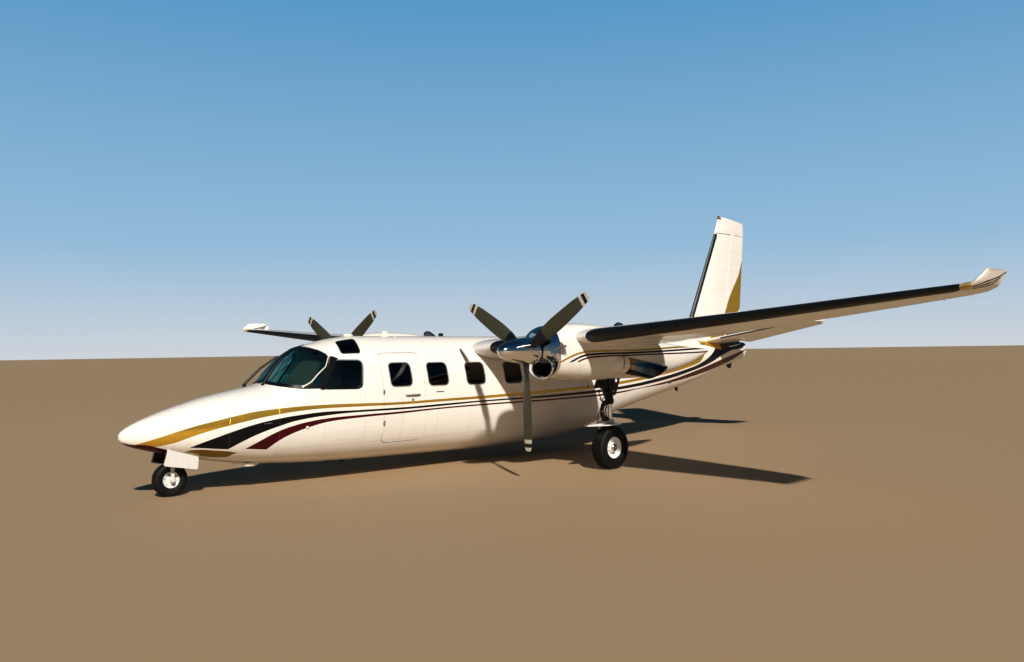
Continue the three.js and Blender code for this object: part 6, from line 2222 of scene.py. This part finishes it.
beacon_shader.inputs["Roughness"].default_value = 0.12
lamp_amber = new_finish("lamp_amber", (0.62, 0.42, 0.12, 1), 0.12, mottle=0.15, scale=90)
place(
    "fin_beacon",
    turned(
        [(0.0, 0.0), (0.0, 0.045), (0.02, 0.045), (0.024, 0.036), (0.05, 0.032), (0.066, 0.02), (0.07, 0.0)],
        (-5.66, 0.0, 4.455), "Z", 32
    ),
    beacon_red, "window_glass"
)
tip_lamp = within(
    foil_body(wing_rows, wing_camber, grow=0.003),
    prism(
        rounded_outline([(1.65, 7.49), (1.47, 7.49), (1.45, 7.545), (1.52, 7.6), (1.65, 7.6)], 0.02), "XY",
        2.0, 2.34
    )
)
place_pair("tip_lamp", tip_lamp, lamp_amber, "window_glass")

# Nacelle and wing fittings: a ram scoop, an air outlet and a vent on top of each nacelle, a
# drain under it, latches on the side, fuel caps and static wicks.
scoop_sections = []
for x, low, high, half in (
    (0.41, 1.94, 2.075, 0.042), (0.36, 1.94, 2.1, 0.046), (0.3, 1.94, 2.09, 0.044), (0.2, 1.93, 2.03, 0.036),
    (0.12, 1.92, 1.96, 0.02)
):
    scoop_sections.append(rounded_ring(nacelle_y, high, low, half, (low + high) / 2, (3.0, 3.0), 32, x))
scoop = less(loft(scoop_sections), solid([(0.0, 0.026), (0.2, 0.03)], (0.3, nacelle_y, 2.052), "X", 32))
vents = merged(
    solid([(-0.03, 0.045), (0.10, 0.045), (0.11, 0.036)], (0.13, nacelle_y - 0.12, 1.945), "Z", 28),
    stud(
        (1.775, nacelle_y + 0.315, 1.761), (0, 1, 0.15),
        [(-0.02, 0.0), (-0.02, 0.013), (0.012, 0.012), (0.014, 0.0)]
    ),
    stud(
        (1.753, nacelle_y + 0.27, 1.88), (0, 0.9, 0.5),
        [(-0.02, 0.0), (-0.02, 0.013), (0.012, 0.012), (0.014, 0.0)]
    ),
    pipe([(1.015, nacelle_y, 1.3), (1.015, nacelle_y, 1.2), (1.0, nacelle_y, 1.171)], 0.007, 12)
)
place_pair("nacelle_scoop", scoop, fitting_steel, "gear_steel")
place_pair("nacelle_vents", vents, fitting_black, "gear_steel")
place_pair("nacelle_fairing", low_dome(-0.116, nacelle_y, 1.9, 0.24, 0.11, 0.1), fitting_white, "body_paint")


def wing_at(y):
    """The wing's leading edge, chord, height, thickness and incidence at a station across."""
    front, chord, height, thick = [table_at(wing_table, y / mm, key) * mm for key in (1, 2, 3, 4)]
    return front, chord, height, thick, math.radians(table_at(wing_table, y / mm, 6))


rods, caps = [], []
for y in (4.95, 5.7, 6.45, 7.0):
    front, chord, height, thick, incidence = wing_at(y)
    tail_x, tail_z = front - chord, height - math.sin(incidence) * chord
    rods.append(pipe(
        [(tail_x + 0.03, y, tail_z + 0.002), (tail_x - 0.09, y, tail_z - 0.004)], [0.0035, 0.002], 8,
    ))
place_pair("aileron_wicks", merged(*rods), fitting_black, "tyre_rubber", body="aileron_")
cap_share, cap_pitch, cap_rise = 0.3, math.radians(2.6), wing_camber * 0.84
for y in (3.4, 5.2):
    front, chord, height, thick, incidence = wing_at(y)
    cap_x = front - cap_share * chord
    cap_z = height + (foil_half(thick, cap_share) + cap_rise - cap_share * math.sin(cap_pitch)) * chord
    caps.append(
        solid([(-0.01, 0.05), (0.003, 0.048), (0.004, 0.012), (0.008, 0.01)], (cap_x, y, cap_z), "Z", 32)
    )
place_pair("fuel_caps", merged(*caps), fitting_steel, "polished_metal")
